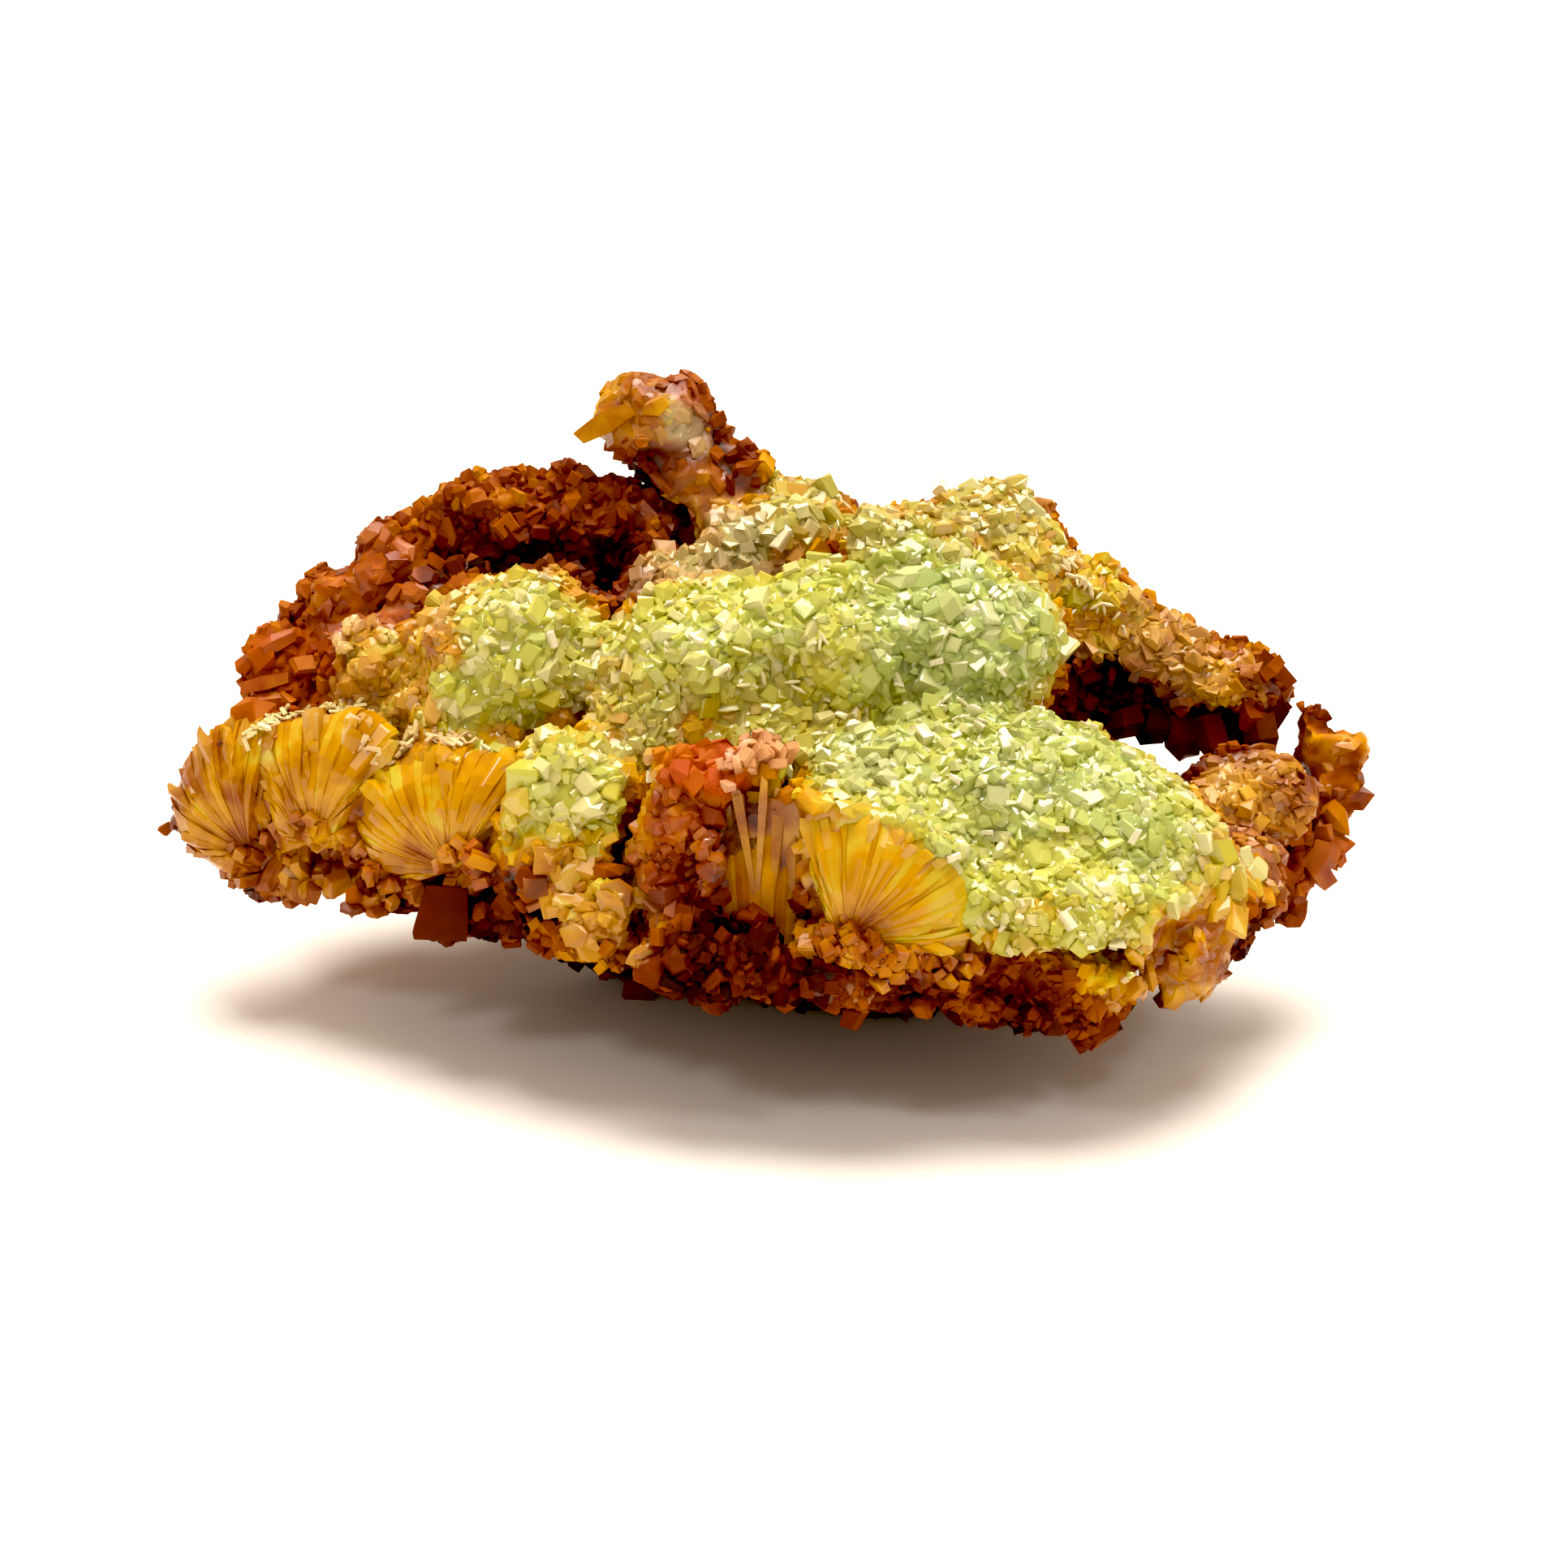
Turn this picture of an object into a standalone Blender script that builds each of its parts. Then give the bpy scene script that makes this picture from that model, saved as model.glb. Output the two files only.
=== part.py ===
"""An adamite specimen: a druse of small crystals on rounded mounds, grown on a broken plate of limonite.

Metres, +Z up, seen from the front along +Y. The specimen rests on the flat foot under its matrix.
Places and sizes below are in millimetres from a point near the middle of the foot.
"""

import math
import random

import bmesh
import bpy
from mathutils import Euler, Matrix, Vector

MM = 0.001

PLATE_BOTTOM = 6.2
PLATE_MIDDLE = 8.6
PLATE_TOP = 10.5
PLATE_LOW_SHARE = (0.86, 0.84)
PLATE_HIGH_SHARE = (0.9, 0.88)
PLATE_LEAN = 0.4
GAP = 0.5
SLIVER = 0.001
HEAL_ROUNDS = 4
MATRIX_VOXEL = 0.40
CRUST_VOXEL = 0.30
MATRIX_TRIANGLES = 3200
CUTTER_TRIANGLES = 2400
CRUST_TRIANGLES = 4100
CRYSTAL_SPACING = 2.2
CRYSTAL_WIDTH = 2.1
CRYSTAL_HEIGHT = 1.0

# The plate's outline from above, anticlockwise from the front corner. Its back right is let in under the arm.
PLATE_OUTLINE = [
    (14.5, -13.6), (18.4, -9.8), (23.6, -4.0), (27.2, 0.4), (28.0, 3.6), (24.0, 4.6), (19.6, 5.2), (17.2, 8.6),
    (15.4, 13.4), (8.0, 16.6), (-3.0, 17.6), (-13.0, 16.4), (-20.5, 13.4), (-25.6, 9.6), (-26.8, 4.4),
    (-22.0, -0.4), (-15.0, -4.6), (-7.0, -8.6), (1.0, -12.4), (8.0, -14.4),
]

# A lump is (x, y, z) of the middle, (x, y, z) of the half sizes, and the turn about Z in degrees.
FOOT_LUMPS = [
    ((4.0, 4.4, 3.4), (8.5, 7.0, 4.8), 0),
    ((-5.4, 6.8, 4.0), (7.0, 5.6, 4.6), 15),
    ((11.6, 5.4, 4.6), (5.0, 4.4, 3.6), -20),
    ((-2.0, 0.8, 5.2), (5.4, 4.0, 3.0), 0),
]
CORE_LUMPS = [
    ((0.0, 3.6, 11.0), (18.0, 8.5, 5.0), 0),
    ((3.0, 10.0, 15.0), (12.5, 5.2, 5.0), -4),
    ((11.0, -4.4, 8.8), (10.0, 7.0, 3.4), -15),
    ((-16.0, 5.0, 10.4), (9.0, 5.0, 4.2), -22),
    ((22.0, 0.6, 8.0), (5.6, 3.8, 2.8), 10),
]
FRONT_LUMPS = [
    ((-25.0, 2.6, 7.3), (2.3, 2.6, 1.5), 0),
    ((-22.2, 1.2, 7.5), (3.2, 3.0, 1.8), -20),
    ((-18.7, -0.4, 8.1), (2.8, 3.0, 1.8), -20),
    ((-13.3, -3.8, 8.8), (3.4, 3.4, 1.7), -25),
    ((-8.6, -6.6, 8.6), (3.4, 3.2, 1.8), -25),
    ((-3.3, -9.2, 8.4), (3.7, 3.2, 2.4), -20),
    ((1.6, -10.2, 8.2), (3.8, 3.2, 1.7), -12),
    ((6.8, -10.8, 7.8), (3.5, 3.2, 1.8), -6),
    ((11.8, -11.0, 7.2), (4.3, 3.2, 2.3), 0),
    ((15.4, -11.2, 6.8), (1.9, 2.4, 1.6), 0),
]
SHELF_LUMPS = [
    ((-24.6, 7.8, 15.3), (2.4, 2.4, 1.3), 10),
    ((-23.4, 8.8, 17.0), (1.7, 2.2, 1.3), 10),
    ((-21.6, 8.6, 14.6), (4.0, 3.4, 3.2), 15),
    ((-20.9, 10.0, 19.2), (2.6, 2.9, 1.9), 15),
    ((-18.4, 11.0, 20.6), (2.8, 3.0, 2.4), 10),
    ((-16.8, 12.2, 21.8), (1.8, 2.4, 1.4), 0),
    ((-13.6, 13.0, 22.6), (2.8, 2.8, 2.4), 0),
    ((-12.8, 12.2, 20.2), (4.2, 2.6, 2.2), 0),
    ((-9.8, 13.6, 22.3), (3.0, 2.8, 2.2), 0),
    ((-8.6, 12.6, 20.4), (3.8, 2.4, 2.4), 0),
    ((-6.2, 13.2, 21.8), (2.3, 2.4, 2.5), 0),
]
BACK_LUMPS = [
    ((-19.6, 11.0, 14.2), (5.6, 3.8, 5.0), 24),
    ((-13.4, 13.4, 16.0), (5.4, 3.8, 6.2), 14),
    ((-6.6, 14.6, 15.4), (5.6, 3.4, 6.4), 4),
    ((1.0, 14.8, 15.0), (5.2, 3.2, 5.6), -4),
    ((8.4, 13.2, 14.4), (5.0, 2.8, 5.2), -12),
    ((14.0, 11.8, 13.8), (3.8, 3.2, 4.4), -24),
    ((-9.8, 15.2, 9.8), (5.2, 3.0, 2.6), 8),
    ((4.6, 15.4, 9.4), (4.4, 2.8, 2.4), -8),
    ((-2.4, 16.6, 12.6), (3.0, 1.8, 2.0), 0),
]
COLUMN_LUMPS = [
    ((-2.2, -8.3, 16.9), (3.6, 2.0, 1.3), -6),
    ((-4.4, -8.8, 13.8), (1.6, 2.2, 3.4), 0),
    ((-3.2, -7.6, 12.2), (3.0, 2.2, 3.4), 0),
    ((-2.4, -10.2, 9.2), (3.8, 2.8, 2.4), 0),
]
ARM_UNDERSIDE_LUMPS = [
    ((16.6, 9.8, 15.2), (3.4, 2.6, 2.4), -12),
    ((20.0, 9.0, 13.8), (3.4, 2.2, 1.6), -10),
    ((22.3, 8.5, 13.3), (2.7, 2.0, 1.4), -10),
    ((22.8, 7.4, 12.4), (2.3, 1.7, 1.1), -20),
]
RIM_LUMPS = [
    ((28.0, 6.0, 14.0), (0.8, 0.9, 1.2), 0),
    ((29.2, 4.6, 13.2), (1.6, 1.0, 1.5), 30),
    ((27.2, 5.4, 12.2), (1.9, 1.2, 0.8), 0),
    ((28.5, 3.4, 10.9), (1.5, 1.1, 2.5), 20),
    ((27.6, 1.8, 8.8), (1.6, 1.6, 1.4), 10),
    ((24.7, -1.2, 7.2), (1.8, 2.2, 1.5), 40),
]

# Vugs and broken places that are taken out of the matrix.
HOLLOWS = [
    ((11.8, -15.2, 8.6), (4.4, 2.6, 1.7), 4),
    ((-13.0, 18.0, 13.2), (3.6, 2.4, 2.4), 15),
    ((-2.6, 18.6, 17.4), (2.6, 2.2, 1.8), 0),
    ((5.2, 18.2, 13.0), (3.0, 2.4, 2.2), -10),
    ((-22.6, 13.8, 16.6), (2.4, 2.4, 1.6), 30),
    ((13.4, 15.2, 11.0), (3.0, 2.4, 2.4), -30),
    ((-15.0, 5.0, 4.4), (4.0, 3.0, 2.4), -20),
    ((15.6, -6.4, 4.2), (3.4, 2.6, 1.8), 30),
    ((1.0, -7.6, 4.6), (3.6, 2.2, 1.8), -10),
    ((22.4, 0.6, 4.2), (2.8, 2.2, 1.6), 20),
    ((-9.4, 9.6, 20.6), (4.8, 1.5, 2.6), -4),
    ((20.2, 6.2, 10.6), (3.2, 1.3, 3.6), -4),
]

# Flat broken faces: a point on the face, the way it faces, and how wide the break is.
BREAKS = [
    ((-15.5, 15.4, 14.0), (-0.42, 0.88, 0.18), 15.0),
    ((0.0, 16.8, 12.0), (0.10, 0.95, -0.30), 12.0),
    ((12.6, 13.6, 12.0), (0.50, 0.80, -0.20), 12.0),
    ((-17.0, 3.0, 5.6), (-0.35, -0.20, -0.90), 13.0),
    ((17.5, -3.0, 4.8), (0.40, -0.30, -0.85), 12.0),
    ((-6.0, 13.6, 6.6), (-0.10, 0.55, -0.80), 16.0),
]

# One squarish grain stands out under the front edge.
HANGING_BLOCK = ((-15.7, -4.6, 7.7), (2.7, 2.2, 2.5), -18)

MOUNDS = {
    "left_mound": ((-12.8, 3.2, 18.0), (4.5, 4.4, 4.4), 0),
    "left_mound_top": ((-11.2, 5.8, 19.3), (3.0, 3.0, 2.6), 0),
    "left_mound_foot": ((-15.3, 1.4, 16.4), (2.8, 2.6, 1.8), 0),
    "middle_mound": ((-3.0, 1.6, 18.5), (4.8, 4.6, 4.2), 0),
    "middle_mound_right": ((2.7, 1.8, 19.2), (3.8, 4.4, 4.0), 0),
    "middle_mound_dome": ((-6.0, -1.0, 16.8), (2.5, 2.8, 2.2), 0),
    "middle_mound_foot": ((0.0, -1.8, 16.4), (3.6, 2.6, 1.4), 0),
    "olive_mound": ((-4.4, 7.2, 20.6), (2.6, 2.6, 1.9), 0),
    "right_mound_back": ((7.1, 8.6, 21.0), (3.4, 3.8, 2.9), 0),
    "right_mound": ((9.5, 4.6, 18.2), (5.0, 4.6, 4.3), 0),
    "right_mound_foot": ((8.1, 1.0, 16.4), (3.6, 3.0, 1.4), 0),
    "top_right_mound": ((11.1, 12.0, 20.9), (3.8, 3.4, 3.2), 0),
    "top_right_shoulder": ((13.7, 10.8, 20.0), (2.2, 2.8, 2.4), 0),
    "smoky_mound": ((0.0, 10.6, 21.8), (3.0, 2.8, 2.2), 0),
    "smoky_mound_back": ((1.9, 12.6, 21.9), (2.5, 2.6, 2.4), 0),
    "saddle": ((4.6, 11.2, 20.4), (2.6, 2.4, 2.0), 0),
    "arm_root": ((16.4, 10.2, 18.1), (2.8, 2.6, 2.7), 0),
    "arm_middle": ((19.2, 9.4, 16.0), (3.2, 2.4, 2.3), 0),
    "arm_outer": ((22.6, 8.6, 15.0), (3.0, 2.0, 1.8), 0),
    "arm_end": ((24.6, 7.8, 14.9), (1.5, 1.7, 1.5), 0),
    "front_right_mound": ((11.3, -4.2, 12.8), (8.0, 5.6, 4.6), 0),
    "front_right_left": ((5.2, -5.6, 14.2), (4.0, 4.0, 3.4), 0),
    "front_right_shoulder": ((16.9, -5.6, 11.3), (4.9, 4.6, 4.1), 0),
    "front_right_apron": ((13.5, -10.2, 11.0), (5.6, 3.2, 2.3), 0),
    "right_flank": ((20.6, -6.8, 9.6), (2.4, 2.8, 2.8), 0),
    "facet_block": ((23.2, -4.2, 9.3), (1.8, 2.4, 1.9), 0),
    "amber_mound": ((24.0, 1.4, 11.6), (3.0, 2.4, 2.2), 0),
    "amber_mound_side": ((22.0, 0.2, 11.7), (2.2, 2.4, 1.8), 0),
    "streaky_lump": ((19.8, -9.4, 8.0), (1.7, 2.0, 2.1), 0),
    "corner_rim": ((16.8, -12.0, 8.2), (1.0, 1.8, 1.7), 0),
    "front_mound": ((-9.6, -4.8, 13.6), (3.7, 3.4, 3.6), 0),
    "front_mound_low": ((-9.4, -6.2, 11.2), (3.2, 2.8, 2.2), 0),
    "front_mound_foot": ((-7.6, -8.4, 9.6), (2.4, 2.4, 2.0), 0),
    "amber_panel": ((-0.5, -10.4, 12.9), (2.4, 2.2, 3.5), 0),
    "under_fan": ((3.6, -12.4, 9.0), (3.0, 2.0, 1.6), 0),
    "rib_mound": ((-19.7, 4.4, 16.2), (2.3, 2.6, 3.2), 0),
    "pale_tip": ((-20.4, 6.2, 17.9), (1.4, 1.8, 0.9), 0),
    "amber_cap": ((-16.1, 7.8, 19.2), (2.8, 2.4, 2.0), 0),
    "nodule": ((-15.3, 13.0, 23.4), (1.1, 1.6, 1.4), 0),
    "left_lobe": ((-26.4, 3.8, 10.8), (3.0, 3.0, 3.6), 0),
    "left_ridge": ((-22.6, 2.8, 13.4), (4.4, 2.4, 2.0), -12),
    "ridge_join": ((-19.2, 1.2, 13.0), (2.6, 2.4, 2.0), -12),
    "end_fan_join": ((-24.0, 1.8, 11.6), (2.0, 2.2, 2.2), -20),
    "fan_join": ((-19.0, -0.6, 12.0), (2.4, 2.2, 2.3), -24),
    "second_ridge": ((-16.0, -0.8, 12.6), (3.8, 2.8, 2.5), -18),
    "knob": ((-5.5, 15.0, 26.9), (2.7, 2.4, 2.1), 0),
    "knob_tip": ((-7.2, 14.8, 27.5), (1.4, 1.8, 1.5), 0),
    "knob_beak": ((-8.0, 14.4, 26.6), (0.9, 1.0, 0.5), -15),
    "knob_neck": ((-4.1, 14.2, 24.2), (2.2, 2.4, 2.6), 0),
    "neck_foot": ((-1.6, 12.8, 22.2), (2.6, 2.4, 1.9), 0),
    "small_knob": ((-1.4, 13.6, 24.4), (1.1, 1.2, 1.0), 0),
}
SMOOTH_MOUNDS = {
    "left_lobe", "left_ridge", "ridge_join", "second_ridge", "end_fan_join", "fan_join", "knob_beak", "nodule",
    "corner_rim",
}

# A fan is a broken growth seen edge on: its root, its reach sideways and upward, the first and last angle in
# the front plane, the turn about Z, and how many blades it has.
FANS = {
    "left_end_fan": ((-25.6, 0.4, 8.2), (6.0, 7.1), 66, 174, -22, 10),
    "left_fan": ((-22.0, -1.0, 10.4), (5.6, 5.8), 48, 132, -24, 9),
    "second_fan": ((-15.8, -4.6, 9.9), (6.2, 6.6), 42, 150, -26, 11),
    "yellow_fan": ((2.8, -12.8, 10.2), (7.4, 7.0), -8, 104, -4, 13),
}
FAN_DEPTH = 4.6
FAN_SLOPE = 0.9
FAN_HEEL = 0.4


def turned(degrees):
    return Euler((0, 0, math.radians(degrees))).to_matrix()


def ellipsoid(bm, middle, half, turn, detail=3):
    place = Matrix.Translation(Vector(middle)) @ turned(turn).to_4x4() @ Matrix.Diagonal((*half, 1.0))
    bmesh.ops.create_icosphere(bm, subdivisions=detail, radius=1.0, matrix=place)


def add_plate(bm):
    """The broken plate: its outline drawn in at the bottom, rising to the back, and drawn in again at its top."""
    wide, deep = PLATE_LOW_SHARE
    floor = [
        bm.verts.new((x * wide, y * deep + PLATE_LEAN, PLATE_BOTTOM + max(0.0, y - 6.0) * 0.3))
        for x, y in PLATE_OUTLINE
    ]
    middle = [bm.verts.new((x, y, PLATE_MIDDLE)) for x, y in PLATE_OUTLINE]
    wide, deep = PLATE_HIGH_SHARE
    top = [bm.verts.new((x * wide, y * deep + PLATE_LEAN * 2, PLATE_TOP)) for x, y in PLATE_OUTLINE]
    bmesh.ops.triangle_fill(bm, use_beauty=True, edges=loop_edges(bm, floor))
    bmesh.ops.triangle_fill(bm, use_beauty=True, edges=loop_edges(bm, top))
    count = len(PLATE_OUTLINE)
    for low, high in ((floor, middle), (middle, top)):
        for i in range(count):
            j = (i + 1) % count
            bm.faces.new((low[i], low[j], high[j], high[i]))


def loop_edges(bm, verts):
    return [bm.edges.new((a, b)) for a, b in zip(verts, verts[1:] + verts[:1])]


def ellipsoid_area(half):
    """Thomsen's formula for the area of an ellipsoid, good to about one per cent."""
    power = 1.6
    pairs = zip(half, half[1:] + half[:1])
    return 4 * math.pi * (sum((a * b) ** power for a, b in pairs) / 3) ** (1 / power)


def add_crystal(bm, base, out, width, height, rng):
    """A wedge-ended crystal standing on base along out: a four-sided prism under a roof ridge."""
    across = out.orthogonal().normalized()
    across.rotate(Matrix.Rotation(rng.uniform(0, math.tau), 3, out))
    along = out.cross(across)
    half_w = width * 0.5
    half_l = half_w * rng.uniform(0.9, 1.5)
    corners = ((-half_l, -half_w), (half_l, -half_w), (half_l, half_w), (-half_l, half_w))
    low = [bm.verts.new(base - out * height * 0.6 + along * a + across * b) for a, b in corners]
    high = [bm.verts.new(base + out * height * 0.35 + (along * a + across * b) * 0.95) for a, b in corners]
    ridge = [bm.verts.new(base + out * height + along * a) for a in (-half_l * 0.6, half_l * 0.6)]
    bm.faces.new(list(reversed(low)))
    for i in range(4):
        j = (i + 1) % 4
        bm.faces.new((low[i], low[j], high[j], high[i]))
    bm.faces.new((high[0], high[1], ridge[1], ridge[0]))
    bm.faces.new((high[1], high[2], ridge[1]))
    bm.faces.new((high[2], high[3], ridge[0], ridge[1]))
    bm.faces.new((high[3], high[0], ridge[0]))


def add_druse(bm, mounds, rng):
    """Crystals spread over every mound on a Fibonacci spiral, each standing along the surface's normal."""
    for middle, half, turn in mounds:
        spin = turned(turn)
        count = max(8, int(ellipsoid_area(half) / CRYSTAL_SPACING ** 2))
        for i in range(count):
            z = 1 - 2 * (i + 0.5) / count
            around = i * math.pi * (3 - math.sqrt(5))
            ring = math.sqrt(1 - z * z)
            unit = Vector((ring * math.cos(around), ring * math.sin(around), z))
            point = spin @ Vector(u * h for u, h in zip(unit, half)) + Vector(middle)
            out = (spin @ Vector(u / h for u, h in zip(unit, half))).normalized()
            out = (out + Vector(rng.uniform(-0.35, 0.35) for _ in range(3))).normalized()
            width = CRYSTAL_WIDTH * rng.uniform(0.75, 1.25)
            add_crystal(bm, point - out * 0.15, out, width, CRYSTAL_HEIGHT * rng.uniform(0.6, 1.3), rng)


def add_fan(bm, root, reach, first, last, turn, blades, rng):
    """Blades side by side that widen from the root to the rim, as one solid with a stepped front."""
    spin = turned(turn)
    rays = []
    for i in range(blades + 1):
        angle = math.radians(first + (last - first) * i / blades)
        ray = Vector((math.cos(angle) * reach[0], 0, math.sin(angle) * reach[1]))
        rays.append((ray.normalized() * FAN_HEEL, ray * rng.uniform(0.92, 1.05)))
    fronts = [rng.uniform(-0.45, 0.45) for _ in range(blades)]
    made = {}

    def vert(ray, end, y):
        key = (ray, end, round(y, 4))
        if key not in made:
            slope = FAN_SLOPE if end and y < FAN_DEPTH else 0.0
            made[key] = bm.verts.new(Vector(root) + spin @ (rays[ray][end] + Vector((0, y + slope, 0))))
        return made[key]

    def side(ray, near, far):
        bm.faces.new((vert(ray, 0, near), vert(ray, 1, near), vert(ray, 1, far), vert(ray, 0, far)))

    for i, front in enumerate(fronts):
        before = fronts[i - 1] if i else front
        after = fronts[i + 1] if i + 1 < blades else front
        bm.faces.new((vert(i, 0, front), vert(i, 1, front), vert(i + 1, 1, front), vert(i + 1, 0, front)))
        bm.faces.new([vert(*corner, FAN_DEPTH) for corner in ((i, 0), (i + 1, 0), (i + 1, 1), (i, 1))])
        for end in (0, 1):
            ring = [vert(i, end, front)] + ([vert(i, end, before)] if before > front else [])
            ring += [vert(i, end, FAN_DEPTH), vert(i + 1, end, FAN_DEPTH)]
            ring += ([vert(i + 1, end, after)] if after > front else []) + [vert(i + 1, end, front)]
            bm.faces.new(ring)
        if i + 1 < blades:
            side(i + 1, front, after)
    side(0, fronts[0], FAN_DEPTH)
    side(blades, fronts[-1], FAN_DEPTH)


def add_blocks(bm, lumps, spacing, size, rng):
    """Squarish iron-stained grains that stand out of the rough lumps."""
    for middle, half, turn in lumps:
        spin = turned(turn)
        count = max(5, int(9 * half[0] * half[2] / spacing ** 2))
        for _ in range(count):
            unit = Vector(rng.gauss(0, 1) for _ in range(3)).normalized()
            point = spin @ Vector(u * h for u, h in zip(unit, half)) + Vector(middle)
            side = size * rng.uniform(0.6, 1.3)
            turn_any = Euler([rng.uniform(0, math.pi) for _ in range(3)]).to_matrix().to_4x4()
            shape = Matrix.Diagonal((side, side * rng.uniform(0.6, 1.0), side * rng.uniform(0.5, 0.9), 1.0))
            bmesh.ops.create_cube(bm, size=1.0, matrix=Matrix.Translation(point) @ turn_any @ shape)


def add_hanging_block(bm):
    middle, sides, turn = HANGING_BLOCK
    place = Matrix.Translation(middle) @ turned(turn).to_4x4() @ Matrix.Diagonal((*sides, 1.0))
    bmesh.ops.create_cube(bm, size=1.0, matrix=place)


def modifier(obj, name, kind, **settings):
    made = obj.modifiers.new(name, kind)
    for key, value in settings.items():
        setattr(made, key, value)
    return made


def cut(obj, name, other, operation):
    modifier(obj, name, "BOOLEAN", object=other, operation=operation, solver="EXACT", use_self=True)


def remesh(obj, voxel):
    return modifier(obj, "one_skin", "REMESH", mode="VOXEL", voxel_size=voxel * MM)


def decimate(obj, triangles):
    """Thins the skin to about that many triangles, which leaves the flat faces flat."""
    bpy.context.view_layer.update()
    now = evaluated_mesh(obj)
    now.calc_loop_triangles()
    share = triangles / len(now.loop_triangles)
    bpy.data.meshes.remove(now)
    return modifier(obj, "flat_faces", "DECIMATE", ratio=min(1.0, share))


def evaluated_mesh(obj):
    graph = bpy.context.evaluated_depsgraph_get()
    return bpy.data.meshes.new_from_object(obj.evaluated_get(graph))


def apply_modifiers(obj):
    made = evaluated_mesh(obj)
    obj.modifiers.clear()
    obj.data = made


def object_from(bm, name):
    bmesh.ops.recalc_face_normals(bm, faces=bm.faces)
    bmesh.ops.scale(bm, vec=(MM, MM, MM), verts=bm.verts)
    mesh = bpy.data.meshes.new(name)
    bm.to_mesh(mesh)
    bm.free()
    obj = bpy.data.objects.new(name, mesh)
    bpy.context.scene.collection.objects.link(obj)
    return obj


def helper(obj):
    obj.hide_render = True
    obj.display_type = "WIRE"
    return obj


def keep_largest_body(obj):
    """Drops crumbs that a cut left loose."""
    bm = bmesh.new()
    bm.from_mesh(obj.data)
    seen = set()
    bodies = []
    for start in bm.verts:
        if start in seen:
            continue
        body = []
        stack = [start]
        seen.add(start)
        while stack:
            vert = stack.pop()
            body.append(vert)
            for edge in vert.link_edges:
                other = edge.other_vert(vert)
                if other not in seen:
                    seen.add(other)
                    stack.append(other)
        bodies.append(body)
    bodies.sort(key=len)
    for body in bodies[:-1]:
        bmesh.ops.delete(bm, geom=body, context="VERTS")
    bmesh.ops.triangulate(bm, faces=bm.faces)
    bm.to_mesh(obj.data)
    bm.free()


def heal(obj):
    """Takes out the slivers that a cut leaves and closes the skin again over them."""
    bm = bmesh.new()
    bm.from_mesh(obj.data)
    for _ in range(HEAL_ROUNDS):
        bmesh.ops.remove_doubles(bm, verts=bm.verts, dist=SLIVER * MM)
        bmesh.ops.dissolve_degenerate(bm, edges=bm.edges, dist=SLIVER * MM)
        bad = [edge for edge in bm.edges if len(edge.link_faces) != 2]
        if not bad:
            break
        torn = {face for edge in bad for vert in edge.verts for face in vert.link_faces}
        bmesh.ops.delete(bm, geom=list(torn), context="FACES")
        bmesh.ops.delete(bm, geom=[vert for vert in bm.verts if not vert.link_faces], context="VERTS")
        bmesh.ops.holes_fill(bm, edges=[edge for edge in bm.edges if edge.is_boundary], sides=0)
        bmesh.ops.triangulate(bm, faces=bm.faces)
    bmesh.ops.recalc_face_normals(bm, faces=bm.faces)
    bm.to_mesh(obj.data)
    bm.free()


def cut_flat_foot(obj, height):
    """Cuts the foot off flat at this height, so that the specimen stands on a real flat face."""
    bm = bmesh.new()
    bm.from_mesh(obj.data)
    everything = bm.verts[:] + bm.edges[:] + bm.faces[:]
    cut = bmesh.ops.bisect_plane(
        bm, geom=everything, plane_co=(0, 0, height * MM), plane_no=(0, 0, -1), clear_outer=True, dist=1e-7
    )
    rim = [e for e in cut["geom_cut"] if isinstance(e, bmesh.types.BMEdge)]
    bmesh.ops.contextual_create(bm, geom=rim)
    bmesh.ops.recalc_face_normals(bm, faces=bm.faces)
    bm.to_mesh(obj.data)
    bm.free()


def clouds(name, size):
    texture = bpy.data.textures.new(name, "CLOUDS")
    texture.noise_scale = size * MM
    texture.noise_depth = 3
    return texture


def cells(name, size):
    texture = bpy.data.textures.new(name, "VORONOI")
    texture.noise_scale = size * MM
    texture.noise_intensity = 1.2
    return texture


def principled(name, color, roughness):
    material = bpy.data.materials.new(name)
    material.use_nodes = True
    shader = material.node_tree.nodes["Principled BSDF"]
    shader.inputs["Base Color"].default_value = (*color, 1.0)
    shader.inputs["Roughness"].default_value = roughness
    shader.inputs["Metallic"].default_value = 0.0
    return material


def build_matrix(rng):
    lumps = FOOT_LUMPS + CORE_LUMPS + FRONT_LUMPS + SHELF_LUMPS + BACK_LUMPS + COLUMN_LUMPS
    lumps += ARM_UNDERSIDE_LUMPS + RIM_LUMPS
    bm = bmesh.new()
    add_plate(bm)
    for lump in lumps:
        ellipsoid(bm, *lump)
    add_hanging_block(bm)
    add_blocks(bm, SHELF_LUMPS + COLUMN_LUMPS, 2.4, 2.2, rng)
    add_blocks(bm, FRONT_LUMPS, 3.4, 2.0, rng)
    add_blocks(bm, BACK_LUMPS, 5.0, 4.2, rng)
    add_blocks(bm, ARM_UNDERSIDE_LUMPS + RIM_LUMPS, 1.8, 1.2, rng)
    matrix = object_from(bm, "limonite_matrix")
    remesh(matrix, MATRIX_VOXEL)
    hollows = build_hollows()
    cut(matrix, "vugs", hollows, "DIFFERENCE")
    remesh(matrix, MATRIX_VOXEL)
    modifier(matrix, "broken", "DISPLACE", texture=cells("grains", 2.6), strength=1.1 * MM, mid_level=0.62)
    modifier(matrix, "rough", "DISPLACE", texture=clouds("rock", 2.2), strength=0.9 * MM, mid_level=0.5)
    remesh(matrix, MATRIX_VOXEL)
    apply_modifiers(matrix)
    bpy.data.objects.remove(hollows)
    keep_largest_body(matrix)
    return matrix


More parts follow.
